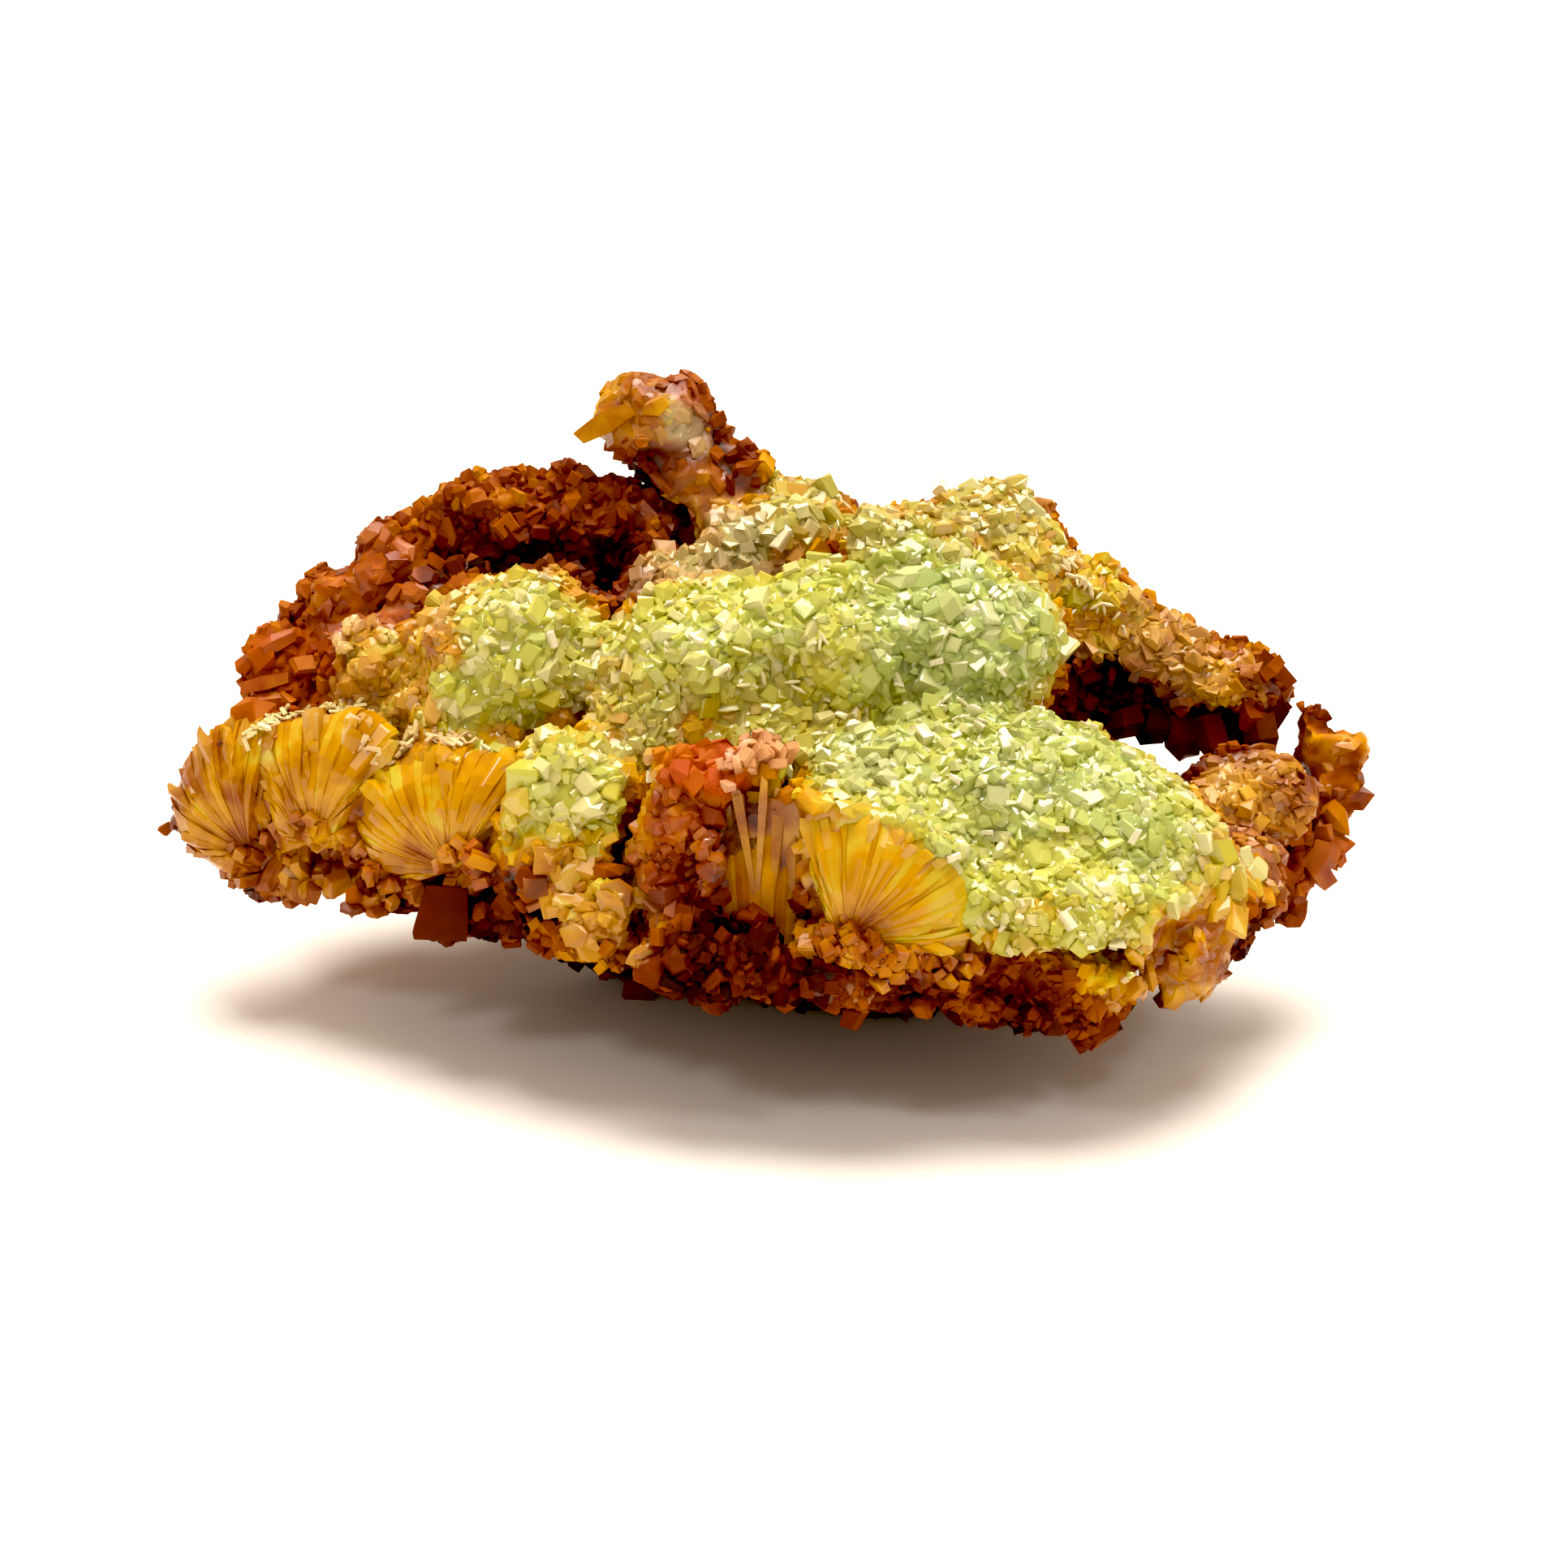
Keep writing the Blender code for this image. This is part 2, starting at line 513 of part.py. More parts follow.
def finish_matrix(matrix):
    """Thins the matrix, sets its one squarish grain in and gives it its flat foot."""
    decimate(matrix, MATRIX_TRIANGLES)
    block = bmesh.new()
    add_hanging_block(block)
    grain = helper(object_from(block, "hanging_block"))
    cut(matrix, "grain", grain, "UNION")
    apply_modifiers(matrix)
    bpy.data.objects.remove(grain)
    heal(matrix)
    cut_flat_foot(matrix, 0.0)
    keep_largest_body(matrix)


def build_hollows():
    """The vugs as ellipsoids and the breaks as blocks whose inner face is the break."""
    bm = bmesh.new()
    for lump in HOLLOWS:
        ellipsoid(bm, *lump, detail=2)
    for point, facing, width in BREAKS:
        out = Vector(facing).normalized()
        facing_out = out.to_track_quat("Z", "Y").to_matrix().to_4x4()
        place = Matrix.Translation(Vector(point) + out * width / 2) @ facing_out
        bmesh.ops.create_cube(bm, size=width, matrix=place)
    return helper(object_from(bm, "hollows"))


def build_cutter(matrix):
    """The matrix swollen by the gap, which the crust is cut by."""
    cutter = helper(bpy.data.objects.new("matrix_swollen", matrix.data))
    bpy.context.scene.collection.objects.link(cutter)
    modifier(cutter, "gap", "DISPLACE", strength=GAP * MM, mid_level=0.0)
    remesh(cutter, MATRIX_VOXEL * 1.2)
    decimate(cutter, CUTTER_TRIANGLES)
    return cutter


def build_crust(rng, cutter):
    bm = bmesh.new()
    for lump in MOUNDS.values():
        ellipsoid(bm, *lump)
    add_druse(bm, [lump for name, lump in MOUNDS.items() if name not in SMOOTH_MOUNDS], rng)
    crust = object_from(bm, "adamite_crust")
    remesh(crust, CRUST_VOXEL)
    decimate(crust, CRUST_TRIANGLES)
    blades = bmesh.new()
    for fan in FANS.values():
        add_fan(blades, *fan, rng)
    fans = helper(object_from(blades, "fans"))
    cut(crust, "blades", fans, "UNION")
    cut(crust, "seat", cutter, "DIFFERENCE")
    apply_modifiers(crust)
    bpy.data.objects.remove(fans)
    heal(crust)
    keep_largest_body(crust)
    return crust


def centre_on_foot(objects):
    """Moves the specimen so that the origin is under the middle of its box, at its foot."""
    points = [v.co for obj in objects for v in obj.data.vertices]
    low = Vector(min(p[k] for p in points) for k in range(3))
    high = Vector(max(p[k] for p in points) for k in range(3))
    shift = Vector((-(low.x + high.x) / 2, -(low.y + high.y) / 2, -low.z))
    for obj in objects:
        obj.data.transform(Matrix.Translation(shift))
    return high - low, shift


def main():
    for obj in list(bpy.data.objects):
        bpy.data.objects.remove(obj, do_unlink=True)
    rng = random.Random(29)
    matrix = build_matrix(rng)
    cutter = build_cutter(matrix)
    crust = build_crust(rng, cutter)
    bpy.data.objects.remove(cutter)
    finish_matrix(matrix)
    size, shift = centre_on_foot([matrix, crust])
    matrix.data.materials.clear()
    matrix.data.materials.append(principled("limonite", (0.30, 0.10, 0.025), 0.75))
    crust.data.materials.clear()
    crust.data.materials.append(principled("adamite", (0.50, 0.55, 0.16), 0.35))
    print("specimen", [round(s / MM, 1) for s in size], "mm, moved by", [round(s / MM, 2) for s in shift])
    print("triangles", len(matrix.data.polygons), len(crust.data.polygons))


main()
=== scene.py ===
import math

import bpy
import numpy as np
from mathutils import Euler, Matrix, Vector
from mathutils.bvhtree import BVHTree
from mathutils.kdtree import KDTree


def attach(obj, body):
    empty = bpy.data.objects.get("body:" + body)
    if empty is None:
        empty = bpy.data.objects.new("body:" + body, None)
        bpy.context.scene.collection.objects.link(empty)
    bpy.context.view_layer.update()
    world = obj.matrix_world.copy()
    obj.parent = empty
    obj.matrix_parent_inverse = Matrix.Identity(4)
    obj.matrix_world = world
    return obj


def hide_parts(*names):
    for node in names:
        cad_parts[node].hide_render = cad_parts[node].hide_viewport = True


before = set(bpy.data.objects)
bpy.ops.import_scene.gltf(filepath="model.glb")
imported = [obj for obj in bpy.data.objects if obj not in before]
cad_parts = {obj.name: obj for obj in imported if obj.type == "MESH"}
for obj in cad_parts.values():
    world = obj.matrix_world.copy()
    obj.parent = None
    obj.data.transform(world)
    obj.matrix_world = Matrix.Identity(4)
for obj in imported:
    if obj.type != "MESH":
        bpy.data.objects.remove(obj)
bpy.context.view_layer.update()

mm = 0.001  # sizes below are in millimetres
perUnit = 1000  # millimetres in one of the frame's metres

# The camera stands where the photograph was taken from.
view = {
    "elevation": 22,  # degrees above the table
    "lens": 85,
    "sensor": 36,
    "distance": 182.5,
    "nearest": 10,
    "aim": (0.93, -2.16, 13.0),
    "photoSide": 1932,  # px
}
studio = {
    "sky": "#F3DCC2",
    "skyStrength": 0.78,
    "floor": ("#F4F2EF", "#FBFAF8"),
    "floorHalf": 900,
    "floorMottle": 25,  # width of the board's faint clouds
    "black": 0.018,  # what the camera lets fall to black
    "key": dict(tilt=(-14, 4, 0), strength=5.0, spread=46, colour="#FFF6EA"),
    "left": dict(tilt=(30, -28, 0), strength=0.35, spread=10, colour="#FFFFFF"),
    "right": dict(tilt=(24, 34, 0), strength=0.3, spread=8, colour="#FFFFFF"),
}


# Every random choice starts from one of these, so each run grows the same crystals.
seeds = {"warp": (1, 2, 3), "mottle": 7, "relief": (21, 22), "skinGrain": 23, "crystals": 11}


def linear(hexColour):
    # sRGB hex to the linear colour that a shader takes
    values = [int(hexColour[i : i + 2], 16) / 255 for i in (1, 3, 5)]
    return [v / 12.92 if v <= 0.04045 else ((v + 0.055) / 1.055) ** 2.4 for v in values] + [1.0]


def addNode(tree, kind, values=None, links=None, stops=None, **settings):
    # one node with its own settings, fixed inputs, links and, in a colour ramp, stops as {place: hex}
    node = tree.nodes.new("ShaderNode" + kind)
    for name, value in settings.items():
        setattr(node, name, value)
    for name, value in (values or {}).items():
        node.inputs[name].default_value = value
    for name, socket in (links or {}).items():
        tree.links.new(socket, node.inputs[name])
    if stops:
        elements = node.color_ramp.elements
        for place in sorted(stops)[1:-1]:
            elements.new(place)
        for element, place in zip(elements, sorted(stops)):
            element.color = linear(stops[place])
    return node


def newMaterial(name):
    material = bpy.data.materials.new(name)
    material.use_nodes = True
    material.node_tree.nodes.clear()
    return material, material.node_tree


def perMetre(size):
    # the scale of a noise whose clouds are some millimetres wide
    return 1 / (size * mm)


# camera and light
def setUpCamera():
    data = bpy.data.cameras.new("photoCamera")
    data.lens = view["lens"]
    data.sensor_width = view["sensor"]
    data.clip_start = view["nearest"] * mm
    camera = bpy.data.objects.new("photoCamera", data)
    bpy.context.scene.collection.objects.link(camera)
    lift = math.radians(view["elevation"])
    back = Vector((0, -math.cos(lift), math.sin(lift)))
    camera.location = (Vector(view["aim"]) + back * view["distance"]) * mm
    camera.rotation_euler = back.to_track_quat("Z", "Y").to_euler()
    bpy.context.scene.camera = camera


def pixelRay(px, py):
    # where the photograph's pixel looks, in millimetres
    lift = math.radians(view["elevation"])
    forward = Vector((0, math.cos(lift), -math.sin(lift)))
    up = Vector((0, math.sin(lift), math.cos(lift)))
    start = Vector(view["aim"]) - forward * view["distance"]
    focal = view["lens"] / view["sensor"] * view["photoSide"]
    middle = view["photoSide"] / 2
    ray = forward + Vector((1, 0, 0)) * ((px - middle) / focal) - up * ((py - middle) / focal)
    return start, ray.normalized()


def pixelsOf(points):
    # where points in millimetres fall in the photograph
    lift = math.radians(view["elevation"])
    forward = np.array((0, math.cos(lift), -math.sin(lift)))
    up = np.array((0, math.sin(lift), math.cos(lift)))
    away = np.asarray(points) - (np.array(view["aim"]) - forward * view["distance"])
    scale = view["lens"] / view["sensor"] * view["photoSide"] / (away @ forward)
    middle = view["photoSide"] / 2
    return np.stack([middle + away[:, 0] * scale, middle - (away @ up) * scale], 1)


def insideOutline(spots, outline):
    # which spots lie inside a closed outline
    inside = np.zeros(len(spots), bool)
    for (ax, ay), (bx, by) in zip(outline, outline[1:] + outline[:1]):
        if ay == by:
            continue
        crosses = (ay > spots[:, 1]) != (by > spots[:, 1])
        inside ^= crosses & (spots[:, 0] < ax + (bx - ax) * (spots[:, 1] - ay) / (by - ay))
    return inside


def setUpStudio():
    world = bpy.data.worlds.new("studio")
    bpy.context.scene.world = world
    world.use_nodes = True
    sky = world.node_tree.nodes["Background"]
    sky.inputs["Color"].default_value = linear(studio["sky"])
    sky.inputs["Strength"].default_value = studio["skyStrength"]
    for name in ("key", "left", "right"):
        lamp = studio[name]
        data = bpy.data.lights.new(name, "SUN")
        data.energy = lamp["strength"]
        data.angle = math.radians(lamp["spread"])
        data.color = linear(lamp["colour"])[:3]
        light = bpy.data.objects.new(name, data)
        light.rotation_euler = Euler([math.radians(a) for a in lamp["tilt"]])
        bpy.context.scene.collection.objects.link(light)
    shown = bpy.context.scene.view_settings
    shown.view_transform = "Standard"
    shown.use_curve_mapping = True
    shown.curve_mapping.black_level = [studio["black"]] * 3
    shown.curve_mapping.update()


def setUpFloor():
    half = studio["floorHalf"] * mm
    mesh = bpy.data.meshes.new("floor")
    corners = [(-half, -half, 0), (half, -half, 0), (half, half, 0), (-half, half, 0)]
    mesh.from_pydata(corners, [], [(0, 1, 2, 3)])
    floor = bpy.data.objects.new("floor", mesh)
    bpy.context.scene.collection.objects.link(floor)
    material, tree = newMaterial("matteBoard")  # coated white board: pale, no gloss
    noise = addNode(tree, "TexNoise", {"Scale": perMetre(studio["floorMottle"])})
    tones = dict(enumerate(studio["floor"]))
    colour = addNode(tree, "ValToRGB", links={"Fac": noise.outputs["Fac"]}, stops=tones)
    matte = {"Roughness": 0.9, "Specular IOR Level": 0.1}
    shader = addNode(tree, "BsdfPrincipled", matte, {"Base Color": colour.outputs["Color"]})
    addNode(tree, "OutputMaterial", links={"Surface": shader.outputs[0]})
    mesh.materials.append(material)


# Colour and crystal habit by place on the specimen. Each zone: its pixel in the photograph, or a point in
# millimetres where the camera can't see, its reach in millimetres, tint, habit and crystal size. Tint runs
# from 0, grey-green, by lime, yellow, honey and amber to 1, dark brown. The last two are smoke and blush.
# The smoke column is the crystals' own smoky grey. In the zones marked painted shade below, it and their darker
# tint are painted shade.
zones = {
    "limeMound": ((900, 800), 4.2, 0.21, "druse", 1.0, 0, 0),
    "limeTop": ((955, 735), 2.4, 0.24, "druse", 1.0, 0, 0),
    "limeDome": ((800, 876), 1.8, 0.34, "druse", 0.9, 0.35, 0),
    "saddle": ((1075, 660), 1.9, 0.3, "druse", 1.0, 0.35, 0),
    # painted shade: the crease between two mounds gets a darker, smokier tint
    "leftCreaseShade": ((735, 850), 1.8, 0.4, "druse", 1.0, 0.3, 0),
    # painted shade: the mound's lower part gets a darker, smokier tint
    "limeFootShade": ((960, 885), 2.0, 0.36, "druse", 0.9, 0.3, 0),
    "greyGreenMound": ((1160, 810), 4.0, 0.05, "druse", 1.1, 0.12, 0),
    "greyGreenTop": ((1150, 705), 2.2, 0.1, "druse", 1.1, 0, 0),
    "smokyMound": ((920, 670), 2.4, 0.34, "druse", 1.3, 0.75, 0),
    "oliveBack": ((1000, 615), 2.0, 0.28, "druse", 1.1, 0.25, 0),
    "oliveLump": ((830, 700), 1.6, 0.58, "druse", 1.0, 0.5, 0),
    "honeyMound": ((1200, 625), 2.8, 0.4, "druse", 1.0, 0.25, 0),
    "honeyEdge": ((1280, 685), 1.8, 0.45, "druse", 0.9, 0.1, 0),
    "leftMound": ((640, 800), 3.4, 0.27, "druse", 1.15, 0.05, 0),
    "leftMoundEdge": ((700, 722), 1.3, 0.5, "druse", 1.1, 0.2, 0),
    "leftMoundSide": ((560, 725), 1.6, 0.53, "druse", 1.0, 0.2, 0),
    "amberNook": ((520, 785), 1.0, 0.64, "druse", 0.9, 0.1, 0),
    "ribs": ((470, 850), 2.0, 0.5, "druse", 0.9, 0.2, 0),
    "drusyCorner": ((700, 960), 2.6, 0.27, "druse", 1.1, 0, 0),
    "drusyFoot": ((735, 1110), 1.8, 0.49, "druse", 1.3, 0.15, 0),
    "drusyLeft": ((620, 1040), 1.2, 0.42, "smooth", 0.8, 0, 0),
    "orangeFoot": ((560, 1100), 1.2, 0.72, "grains", 1.0, 0, 0),
    "redCap": ((870, 930), 1.6, 0.72, "grains", 1.3, 0, 0.9),
    "redColumn": ((830, 1060), 1.8, 0.76, "druse", 1.0, 0, 0.25),
    "amberPanel": ((930, 1060), 1.7, 0.6, "smooth", 1.2, 0, 0),
    "rightMound": ((1250, 970), 5.0, 0.12, "druse", 0.9, 0.1, 0),
    "rightMoundLow": ((1300, 1100), 3.0, 0.35, "druse", 0.9, 0, 0),
    # smoky grey that is partly the crystals' own colour and partly painted shade
    "rightMoundLeftShade": ((1050, 930), 2.0, 0.1, "druse", 1.1, 0.3, 0),
    "leftRidge": ((400, 930), 2.0, 0.56, "smooth", 1.0, 0, 0),
    "middleFan": ((540, 990), 2.4, 0.56, "smooth", 1.0, 0, 0),
    "yellowFan": ((1090, 1080), 2.6, 0.5, "smooth", 1.0, 0, 0),
    "yellowPatch": ((1310, 1058), 1.9, 0.38, "smooth", 0.7, 0, 0),
    "paleFacets": ((1415, 1225), 1.3, 0.43, "druse", 1.7, 0, 0),
    "rustCavity": ((1260, 1215), 2.2, 0.85, "grains", 0.7, 0, 0),
    "rustUnderRight": ((1270, 1280), 1.8, 0.84, "grains", 0.8, 0, 0),
    "streakedLump": ((1460, 1190), 1.8, 0.62, "smooth", 1.0, 0, 0),
    "bigFacets": ((1540, 1085), 1.3, 0.42, "druse", 1.8, 0, 0),
    "greyishCrystals": ((1510, 945), 1.0, 0.6, "druse", 1.0, 0.3, 0),
    "amberShoulder": ((1550, 990), 2.0, 0.62, "druse", 1.0, 0.1, 0),
    "rim": ((1640, 950), 2.2, 0.74, "smooth", 1.0, 0, 0),
    "rimTip": ((1665, 900), 1.1, 0.52, "smooth", 1.0, 0.2, 0.2),
    "rimFoot": ((1625, 1055), 1.4, 0.73, "grains", 1.3, 0, 0.25),
    "fringe": ((1555, 1145), 1.4, 0.86, "grains", 1.0, 0, 0),
    "armStart": ((1330, 700), 1.6, 0.48, "druse", 1.0, 0, 0),
    "armTop": ((1390, 760), 1.6, 0.55, "druse", 1.0, 0.25, 0),
    "armMiddle": ((1450, 820), 1.9, 0.53, "druse", 1.0, 0.3, 0),
    "armTip": ((1530, 830), 1.6, 0.65, "druse", 0.8, 0.05, 0),
    "armEnd": ((1575, 870), 1.3, 0.86, "grains", 1.0, 0, 0),
    "armUnder": ((1500, 895), 1.6, 0.88, "grains", 0.9, 0, 0),
    "armShade": ((1400, 875), 1.4, 0.95, "grains", 0.9, 0, 0),
    "shelf": ((650, 610), 2.8, 0.8, "grains", 1.2, 0, 0.05),
    "shelfEdge": ((740, 610), 1.8, 0.82, "grains", 1.2, 0, 0.05),
    # painted shade: the shelf's front face, darker than its top, in the pit's shadow
    "shelfShade": ((620, 700), 1.8, 0.92, "grains", 1.2, 0, 0),
    # painted shade: near-black tint in the hollow between the shelf and the mounds
    "pitShade": ((750, 700), 1.6, 0.96, "grains", 1.1, 0, 0),
    "nodule": ((590, 610), 1.5, 0.66, "grains", 1.2, 0, 0),
    "orangeLobe": ((440, 730), 2.0, 0.71, "smooth", 1.0, 0, 0.2),
    "redSpurs": ((350, 835), 2.0, 0.76, "grains", 1.4, 0, 0.4),
    "knobAmber": ((765, 500), 1.7, 0.61, "smooth", 0.9, 0, 0),
    "knobGrey": ((845, 525), 1.2, 0.5, "smooth", 1.0, 0.9, 0),
    "knobEdge": ((865, 480), 0.9, 0.78, "smooth", 0.7, 0, 0.2),
    "neck": ((840, 610), 1.7, 0.66, "smooth", 1.0, 0, 0),
    "lobe": ((255, 980), 2.4, 0.66, "smooth", 1.0, 0, 0),
    "lobeFoot": ((300, 1090), 1.3, 0.8, "smooth", 0.9, 0, 0),
    "rustUnderFans": ((385, 1070), 2.4, 0.68, "druse", 1.5, 0, 0),
    "hangingBlock": ((548, 1130), 1.2, 0.89, "grains", 0.9, 0, 0),
    "rustBand": ((860, 1210), 1.8, 0.9, "grains", 0.9, 0, 0),
    "ochreBand": ((700, 1180), 1.4, 0.68, "grains", 1.0, 0, 0),
    "ochrePatch": ((1060, 1215), 1.5, 0.78, "grains", 0.8, 0, 0),
    "backWall": ((0, 15, 14), 8.0, 0.82, "grains", 1.3, 0, 0),
    "backLeft": ((-22, 8, 10), 6.0, 0.8, "grains", 1.3, 0, 0),
    "backRight": ((22, 14, 12), 6.0, 0.72, "grains", 1.2, 0, 0),
    "underRight": ((15, -6, 3), 4.0, 0.88, "grains", 1.0, 0, 0),
    "underside": ((0, 2, 2), 12.0, 0.9, "grains", 1.2, 0, 0),
}
# How ragged the borders are: size and reach of their waves in millimetres, then size and depth of the mottle
zoneWarp = {"size": 2.2, "reach": 0.9, "mottleSize": 0.8, "mottle": 0.05}


def trisOf(mesh):
    # points in millimetres and triangles of a mesh
    mesh.calc_loop_triangles()
    points = np.empty(len(mesh.vertices) * 3, np.float32)
    mesh.vertices.foreach_get("co", points)
    tris = np.empty(len(mesh.loop_triangles) * 3, np.int32)
    mesh.loop_triangles.foreach_get("vertices", tris)
    return points.reshape(-1, 3).astype(float) * perUnit, tris.reshape(-1, 3)


def cadTree():
    points, tris = [], []
    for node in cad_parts.values():
        p, t = trisOf(node.data)
        tris += (t + len(points)).tolist()
        points += p.tolist()
    return BVHTree.FromPolygons(points, tris)


surface = cadTree()  # the solids' faces, which the photograph's pixels are cast on


def onSurface(px, py):
    # the point of the specimen that the photograph shows at a pixel
    start, ray = pixelRay(px, py)
    hit = surface.ray_cast(start, ray)[0]
    return hit or surface.find_nearest(start + ray * view["distance"])[0]


# Crossed waves that make a smooth noise: how many, how close, how far they are shifted, and their usual sum
waves = {"count": 9, "pitch": 2.2, "turn": 6.28, "total": 3.2}


def wobble(points, size, seed):
    # that noise at some points, about -1 to 1
    rng = np.random.default_rng(seed)
    total = np.zeros(len(points))
    for _ in range(waves["count"]):
        wave = rng.normal(size=3) / size
        total += np.sin(points @ wave * waves["pitch"] + rng.uniform(0, waves["turn"]))
    return total / waves["total"]


class Zones:
    def __init__(self):
        at, reach, tint, habit, size, smoke, blush = zip(*zones.values())
        places = [Vector(place) if len(place) == 3 else onSurface(*place) for place in at]
        self.places = np.array([tuple(place) for place in places])
        self.reach = np.array(reach)
        self.values = np.array(list(zip(tint, size, smoke, blush)))
        self.habits = np.array(habit)
        self.batch = 20000  # points worked on together, which spares memory

    def at(self, points):
        # tint, size, smoke, blush and habit at each point
        shifts = [wobble(points, zoneWarp["size"], seed) for seed in seeds["warp"]]
        warped = points + zoneWarp["reach"] * np.stack(shifts, 1)
        out = np.empty((len(points), self.values.shape[1]))
        habit = np.empty(len(points), dtype=self.habits.dtype)
        for i in range(0, len(points), self.batch):
            part = slice(i, i + self.batch)
            far = np.linalg.norm(warped[part, None] - self.places, axis=2) / self.reach
            pull = np.exp(far.min(1, keepdims=True) ** 2 - far**2)
            out[part] = pull @ self.values / pull.sum(1, keepdims=True)
            habit[part] = self.habits[far.argmin(1)]
        mottle = zoneWarp["mottle"] * wobble(points, zoneWarp["mottleSize"], seeds["mottle"])
        out[:, 0] = np.clip(out[:, 0] + mottle, 0, 1)
        return out, habit


# pale mixes in pale cream: the own pale colour of crests and fan rims, and painted glints on druse, flakes and
# needles
layers = ("tint", "smoke", "blush", "pale", "tip", "own")


def makePiece(name, points, faces, values, material, smooth=False):
    # a mesh piece from points in millimetres, with one value for each point in each layer
    mesh = bpy.data.meshes.new(name)
    mesh.from_pydata((np.asarray(points) * mm).tolist(), [], faces)
    for layer in layers:
        attribute = mesh.attributes.new(layer, "FLOAT", "POINT")
        attribute.data.foreach_set("value", np.asarray(values[layer], np.float32))
    mesh.materials.append(material)
    mesh.polygons.foreach_set("use_smooth", [smooth] * len(mesh.polygons))
    mesh.update()
    piece = bpy.data.objects.new(name, mesh)
    bpy.context.scene.collection.objects.link(piece)
    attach(piece, "root")
    return piece


# Skins: the solids' own forms, softened, that the crystals grow on. Voxel and swell are in millimetres.
skins = {
    "limonite_matrix": dict(name="limoniteMatrix", voxel=0.32, rounds=2, swell=-0.4, slot="limonite"),
    "adamite_crust": dict(name="adamiteCrust", voxel=0.34, rounds=6, swell=-0.3, slot="adamite"),
}
# What both share: the weld's reach, the smoothing's strength, each relief's height and size, and the depth and
# size of the grain in their colour
skinWork = {"weld": 0.001, "soften": 0.6, "reliefs": ((0.16, 0.7), (0.1, 0.35)), "grain": (0.3, 0.5)}


def softened(node, voxel, rounds, swell):
    # a copy of a solid's mesh, remeshed evenly, smoothed and swollen, or drawn in where swell is below 0
    obj = bpy.data.objects.new("soft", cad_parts[node].data.copy())
    bpy.context.scene.collection.objects.link(obj)
    weld = obj.modifiers.new("weld", "WELD")
    weld.merge_threshold = skinWork["weld"] * mm
    grid = obj.modifiers.new("grid", "REMESH")
    grid.mode = "VOXEL"
    grid.voxel_size = voxel * mm
    soft = obj.modifiers.new("soft", "SMOOTH")
    soft.factor = skinWork["soften"]
    soft.iterations = rounds
    swelling = obj.modifiers.new("swelling", "DISPLACE")
    swelling.strength = swell * mm
    swelling.mid_level = 0
    mesh = bpy.data.meshes.new_from_object(obj.evaluated_get(bpy.context.evaluated_depsgraph_get()))
    bpy.data.objects.remove(obj)
    return mesh


def normalsOf(mesh):
    normals = np.empty(len(mesh.vertices) * 3, np.float32)
    mesh.vertices.foreach_get("normal", normals)
    return normals.reshape(-1, 3).astype(float)


def makeSkin(node, zoneMap, material):
    spec = skins[node]
    mesh = softened(node, spec["voxel"], spec["rounds"], spec["swell"])
    points, tris = trisOf(mesh)
    normals = normalsOf(mesh)
    relief = sum(height * wobble(points, size, seed)
                 for (height, size), seed in zip(skinWork["reliefs"], seeds["relief"]))
    points = points + normals * relief[:, None]
    front, facings = clearOfFans(points)
    points -= facings * np.maximum(front + fanShape["clear"], 0)[:, None]
    points[:, 2] = np.maximum(points[:, 2], 0.0)
    found, _ = zoneMap.at(points)
    faces = [list(p.vertices) for p in mesh.polygons]
    values = dict(tint=found[:, 0], smoke=found[:, 2], blush=found[:, 3])
    values["tip"] = values["pale"] = np.zeros(len(points))
    depth, size = skinWork["grain"]
    values["own"] = 0.5 + depth * wobble(points, size, seeds["skinGrain"])
    skin = makePiece(spec["name"], points, faces, values, material, smooth=True)
    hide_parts(node)
    return skin, points, tris, normals


def gem(sides, shoulder, top, foot=0.4):
    # a prism of some sides, one unit wide and high, that closes above its shoulder to a point, ridge or table
    angles = [math.tau * (i + 0.5) / sides for i in range(sides)]
    rings = [(foot, foot, 0), (0.5, 0.5, shoulder), (*top, 1)]
    points = [(rx * math.cos(a), ry * math.sin(a), z) for rx, ry, z in rings for a in angles]
    faces = [tuple(reversed(range(sides))), tuple(range(2 * sides, 3 * sides))]
    for low in (0, sides):
        faces += [(low + i, low + (i + 1) % sides, low + sides + (i + 1) % sides, low + sides + i)
                  for i in range(sides)]
    return np.array(points), faces


forms = {
    "roof": gem(4, 0.5, (0.34, 0.03)),
    "chisel": gem(6, 0.45, (0.3, 0.05)),
    "point": gem(6, 0.5, (0.08, 0.08)),
    "stub": gem(5, 0.62, (0.3, 0.2)),
    "block": gem(4, 0.84, (0.42, 0.4)),
    "blade": gem(4, 0.9, (0.36, 0.36), 0.16),
    "ridged": gem(6, 0.8, (0.2, 0.25), 0.1),
}
# How each habit grows: the room that each crystal keeps, its width and height in millimetres, its lean, the
# share of it that is sunk, how much the sizes differ, how pale the palest green ones get, a painted highlight
# for the glints on their facets, and its forms
habits = {
    "druse": dict(room=0.37, width=0.94, height=0.56, lean=0.55, sink=0.7, spread=0.25, bright=0.5,
                  forms=("roof", "block", "stub", "chisel")),
    "smooth": dict(room=0.8, width=1.5, height=0.5, lean=0.12, sink=0.8, spread=0.2, bright=0.1,
                   forms=("stub", "chisel")),
    "grains": dict(room=0.4, width=0.75, height=0.6, lean=0.5, sink=0.6, spread=0.3, bright=0,
                   forms=("block", "stub", "chisel")),
}


# How crystals differ: spacing of the sites that are tried, range of their room, tilt, unevenness and skew, the
# ranges of their length, breadth and height, and the tint where green ones stop getting the painted highlight
# of pale facets, and how steeply
nature = {
    "spacing": 0.3,
    "room": (0.8, 1.25),
    "tilt": 0.6,
    "uneven": 0.035,
    "skew": 0.12,
    "long": (0.8, 1.3),
    "broad": (0.6, 1.0),
    "high": (0.75, 1.25),
    "greenEnd": 0.52,
    "greenEdge": 8,
}


